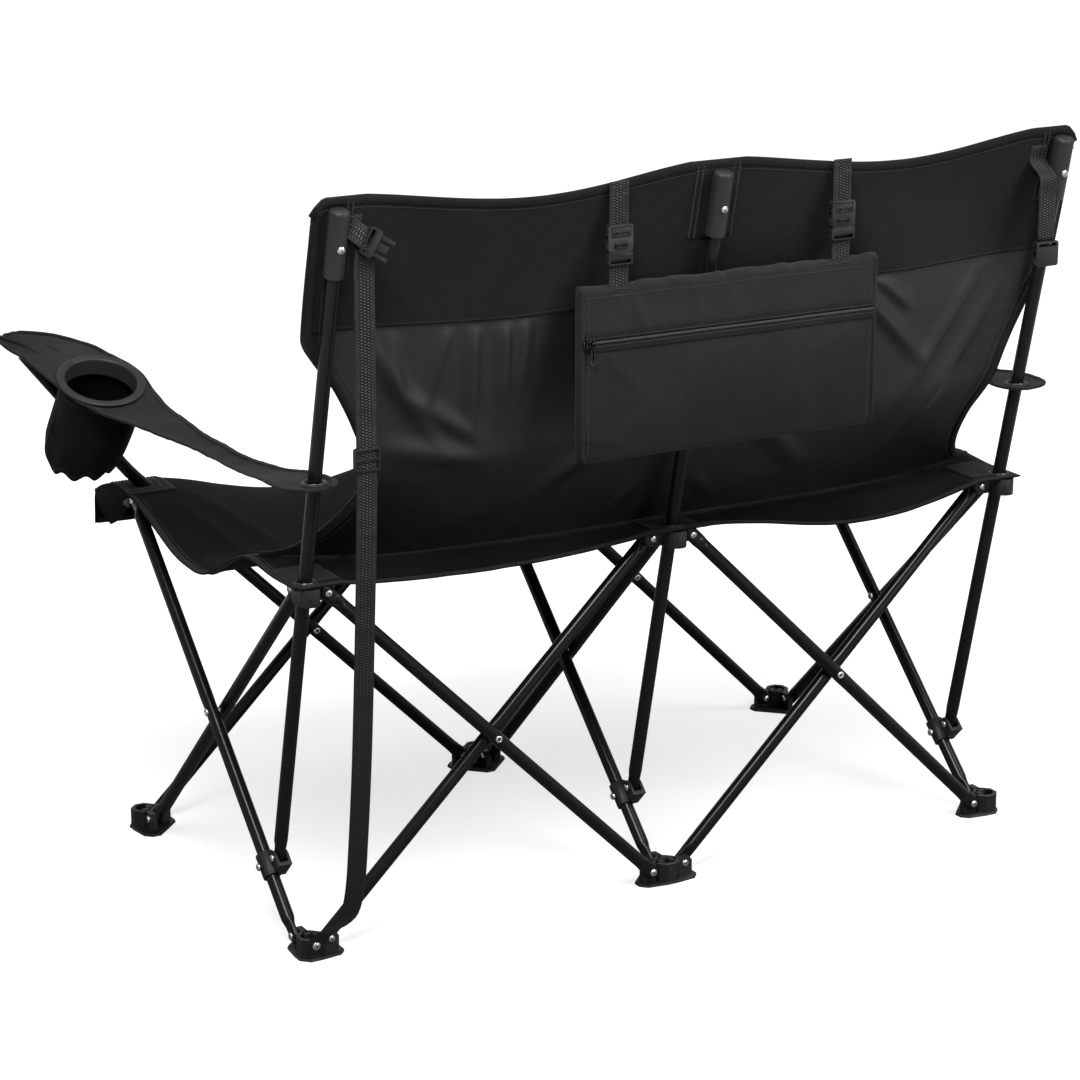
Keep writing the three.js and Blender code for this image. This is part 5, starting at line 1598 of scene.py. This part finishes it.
# Stage

# The camera was fitted to the photograph, in its pixels
PHOTO_SIZE = 1080
FOCAL_LENGTH = 3378.79
OFF_CENTRE = (10.59, -11.21)
# A full-frame sensor in millimetres, and places in metres
SENSOR = 36
CAMERA_PLACE = (2.0384, 3.48025, 1.5337)
CAMERA_WAY = (-0.474617, -0.836735, -0.273154)
LIT_PLACE = (0, 0, 0.45)
# name, place, size in metres, power in watts
LAMPS = [
    ("Key", (1.6, 1.9, 3.3), 1.4, 105),
    ("Fill", (-1.9, 2.3, 3.1), 1.5, 70),
    ("Sheen", (-1.9, 4.3, 1.1), 1.2, 30),
    ("Top", (0.0, 0.2, 3.6), 2.4, 40),
    ("Front", (0.6, -3.2, 2.4), 2.2, 12),
]


def floor_finish():
    """A pale floor that keeps the shadow and shows white to the camera. In reflections it is darker, and its
    glow there fades towards its middle: painted shade under the loveseat.
    """
    tree, shader = new_material("Pale floor", Roughness=0.9)
    seen = add_node(tree, "ShaderNodeLightPath")
    mirrored = seen.outputs["Is Glossy Ray"]
    # Darker to glossy rays than to others: painted shade in reflections.
    link(tree, ranged(tree, mirrored, 0.5, 0.12), shader, "Base Color")
    spot = add_node(tree, "ShaderNodeTexCoord").outputs["Object"]
    reach = add_node(tree, "ShaderNodeVectorMath", {0: spot}, operation="LENGTH").outputs["Value"]
    # In reflections the floor glows 0.05 near its middle and 0.6 far off: painted shade of the loveseat on
    # the floor.
    glow = maths(tree, "MULTIPLY", mirrored, ranged(tree, reach, 0.05, 0.6, 0.9, 1.9))
    glow = maths(tree, "MAXIMUM", glow, seen.outputs["Is Camera Ray"])
    light = add_node(tree, "ShaderNodeEmission", {"Strength": ranged(tree, reach, 0.7, 1.0, 0.6, 1.5)})
    dark = add_node(tree, "ShaderNodeEmission", {"Strength": 0.0})
    choice = add_node(tree, "ShaderNodeMixShader", {0: glow, 1: dark.outputs[0], 2: light.outputs[0]})
    both = add_node(tree, "ShaderNodeAddShader", {0: shader.outputs[0], 1: choice.outputs[0]})
    tree.links.new(both.outputs[0], tree.nodes["Material Output"].inputs[0])


class LoveseatStage(bpy.types.Operator):
    """Camera, floor, soft lamps and a white world"""

    bl_idname = "loveseat.stage"
    bl_label = "Stage"

    def execute(self, context):
        scene = context.scene
        lens = bpy.data.cameras.new("Camera")
        lens.sensor_width = SENSOR
        lens.lens = FOCAL_LENGTH / PHOTO_SIZE * SENSOR
        lens.shift_x = OFF_CENTRE[0] / PHOTO_SIZE
        lens.shift_y = OFF_CENTRE[1] / PHOTO_SIZE
        lens.clip_end = 60
        camera = bpy.data.objects.new("Camera", lens)
        camera.location = CAMERA_PLACE
        camera.rotation_euler = Vector(CAMERA_WAY).to_track_quat("-Z", "Y").to_euler()
        scene.collection.objects.link(camera)
        scene.camera = camera
        mesh = bmesh.new()
        bmesh.ops.create_grid(mesh, x_segments=4, y_segments=4, size=9)
        data = bpy.data.meshes.new("floor")
        mesh.to_mesh(data)
        mesh.free()
        floor_finish()
        data.materials.append(bpy.data.materials["Pale floor"])
        floor = bpy.data.objects.new("floor", data)
        scene.collection.objects.link(floor)
        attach(floor, "foot_rear_centre")
        for name, place, size, power in LAMPS:
            light = bpy.data.lights.new(name, "AREA")
            light.size = size
            light.energy = power
            lamp = bpy.data.objects.new(name, light)
            lamp.location = place
            towards = Vector(LIT_PLACE) - Vector(place)
            lamp.rotation_euler = towards.to_track_quat("-Z", "Y").to_euler()
            scene.collection.objects.link(lamp)
        world = bpy.data.worlds.new("White room")
        scene.world = world
        world.use_nodes = True
        tree = world.node_tree
        seen = add_node(tree, "ShaderNodeLightPath")
        glow = maths(tree, "MULTIPLY", seen.outputs["Is Glossy Ray"], 0.4)
        glow = maths(tree, "MAXIMUM", glow, seen.outputs["Is Camera Ray"])
        glow = maths(tree, "MAXIMUM", glow, seen.outputs["Is Transmission Ray"])
        background = tree.nodes["Background"]
        background.inputs["Color"].default_value = (1, 1, 1, 1)
        tree.links.new(ranged(tree, glow, 0.08, 1.0), background.inputs["Strength"])
        scene.view_settings.view_transform = "Standard"
        return {"FINISHED"}


# Add-on

def colour_property(name, description, default):
    return bpy.props.FloatVectorProperty(
        name=name, description=description, default=default, subtype="COLOR", size=3, min=0, max=1,
    )


class LoveseatColours(bpy.types.PropertyGroup):
    tube: colour_property("Tubes", "Enamel of the frame and the posts", (0.006, 0.0058, 0.0058))
    zinc: colour_property("Rivets", "Plated rivets and screws", (0.62, 0.62, 0.61))
    moulding: colour_property("Mouldings", "Feet, hubs, clamps and buckles", (0.0065, 0.0065, 0.0067))
    cap: colour_property("Caps and rings", "Post caps and cup rings", (0.0102, 0.0106, 0.0112))
    # The seat and cup bags take this colour at 0.3: painted shade.
    cloth: colour_property("Cloth", "Seat, armrests and the back's upper band", (0.0135, 0.0115, 0.012))
    coated: colour_property("Coated cloth", "The back below its seam", (0.0145, 0.014, 0.014))
    pocket: colour_property("Pocket cloth", "The storage pocket", (0.0155, 0.0133, 0.0136))
    webbing: colour_property("Webbing", "Straps", (0.0045, 0.0045, 0.004))
    # Colour of the painted highlights on the straps' raised yarns.
    webbing_highlight: colour_property("Webbing fleck", "Painted highlights on the raised yarns of the straps", (0.13, 0.13, 0.115))
    binding: colour_property("Binding", "Bound edges of the cloth", (0.009, 0.008, 0.0074))
    thread: colour_property("Thread", "Stitches", (0.03, 0.027, 0.026))


class LoveseatSizes(bpy.types.PropertyGroup):
    tube_diameter: bpy.props.FloatProperty(
        name="Tube diameter", description="Outside of the frame's tubes", default=0.016,
        min=0.012, max=0.018, unit="LENGTH",
    )
    cloth_thickness: bpy.props.FloatProperty(
        name="Cloth thickness", description="Thickness of the seat and back cloth", default=0.0014,
        min=0.0006, max=0.003, unit="LENGTH",
    )
    hem_width: bpy.props.FloatProperty(
        name="Hem width", description="Width of hems and bound edges", default=0.008,
        min=0.005, max=0.02, unit="LENGTH",
    )


STEPS = (
    LoveseatStage, LoveseatCarryStrap, LoveseatClosingStrap, LoveseatTubes, LoveseatPosts, LoveseatFeet,
    LoveseatHubs, LoveseatSeat, LoveseatBack, LoveseatArmrests, LoveseatCups, LoveseatPocket,
    LoveseatPocketStraps,
)


class LOVESEAT_PT_build(bpy.types.Panel):
    """Sizes, colours and the steps that build the loveseat"""

    bl_label = "Folding camping loveseat"
    bl_space_type = "VIEW_3D"
    bl_region_type = "UI"
    bl_category = "Loveseat"

    def draw(self, context):
        for group in (context.scene.loveseat_sizes, context.scene.loveseat_colours):
            box = self.layout.box()
            for name in group.__annotations__:
                box.prop(group, name)
        for step in STEPS:
            self.layout.operator(step.bl_idname)


CLASSES = (LoveseatColours, LoveseatSizes, *STEPS, LOVESEAT_PT_build)


def register():
    for kind in CLASSES:
        bpy.utils.register_class(kind)
    bpy.types.Scene.loveseat_colours = bpy.props.PointerProperty(type=LoveseatColours)
    bpy.types.Scene.loveseat_sizes = bpy.props.PointerProperty(type=LoveseatSizes)


def unregister():
    del bpy.types.Scene.loveseat_sizes
    del bpy.types.Scene.loveseat_colours
    for kind in reversed(CLASSES):
        bpy.utils.unregister_class(kind)


def main():
    register()
    make_finishes(bpy.context.scene.loveseat_colours)
    for step in STEPS:
        group, name = step.bl_idname.split(".")
        getattr(getattr(bpy.ops, group), name)()


if __name__ == "__main__":
    main()
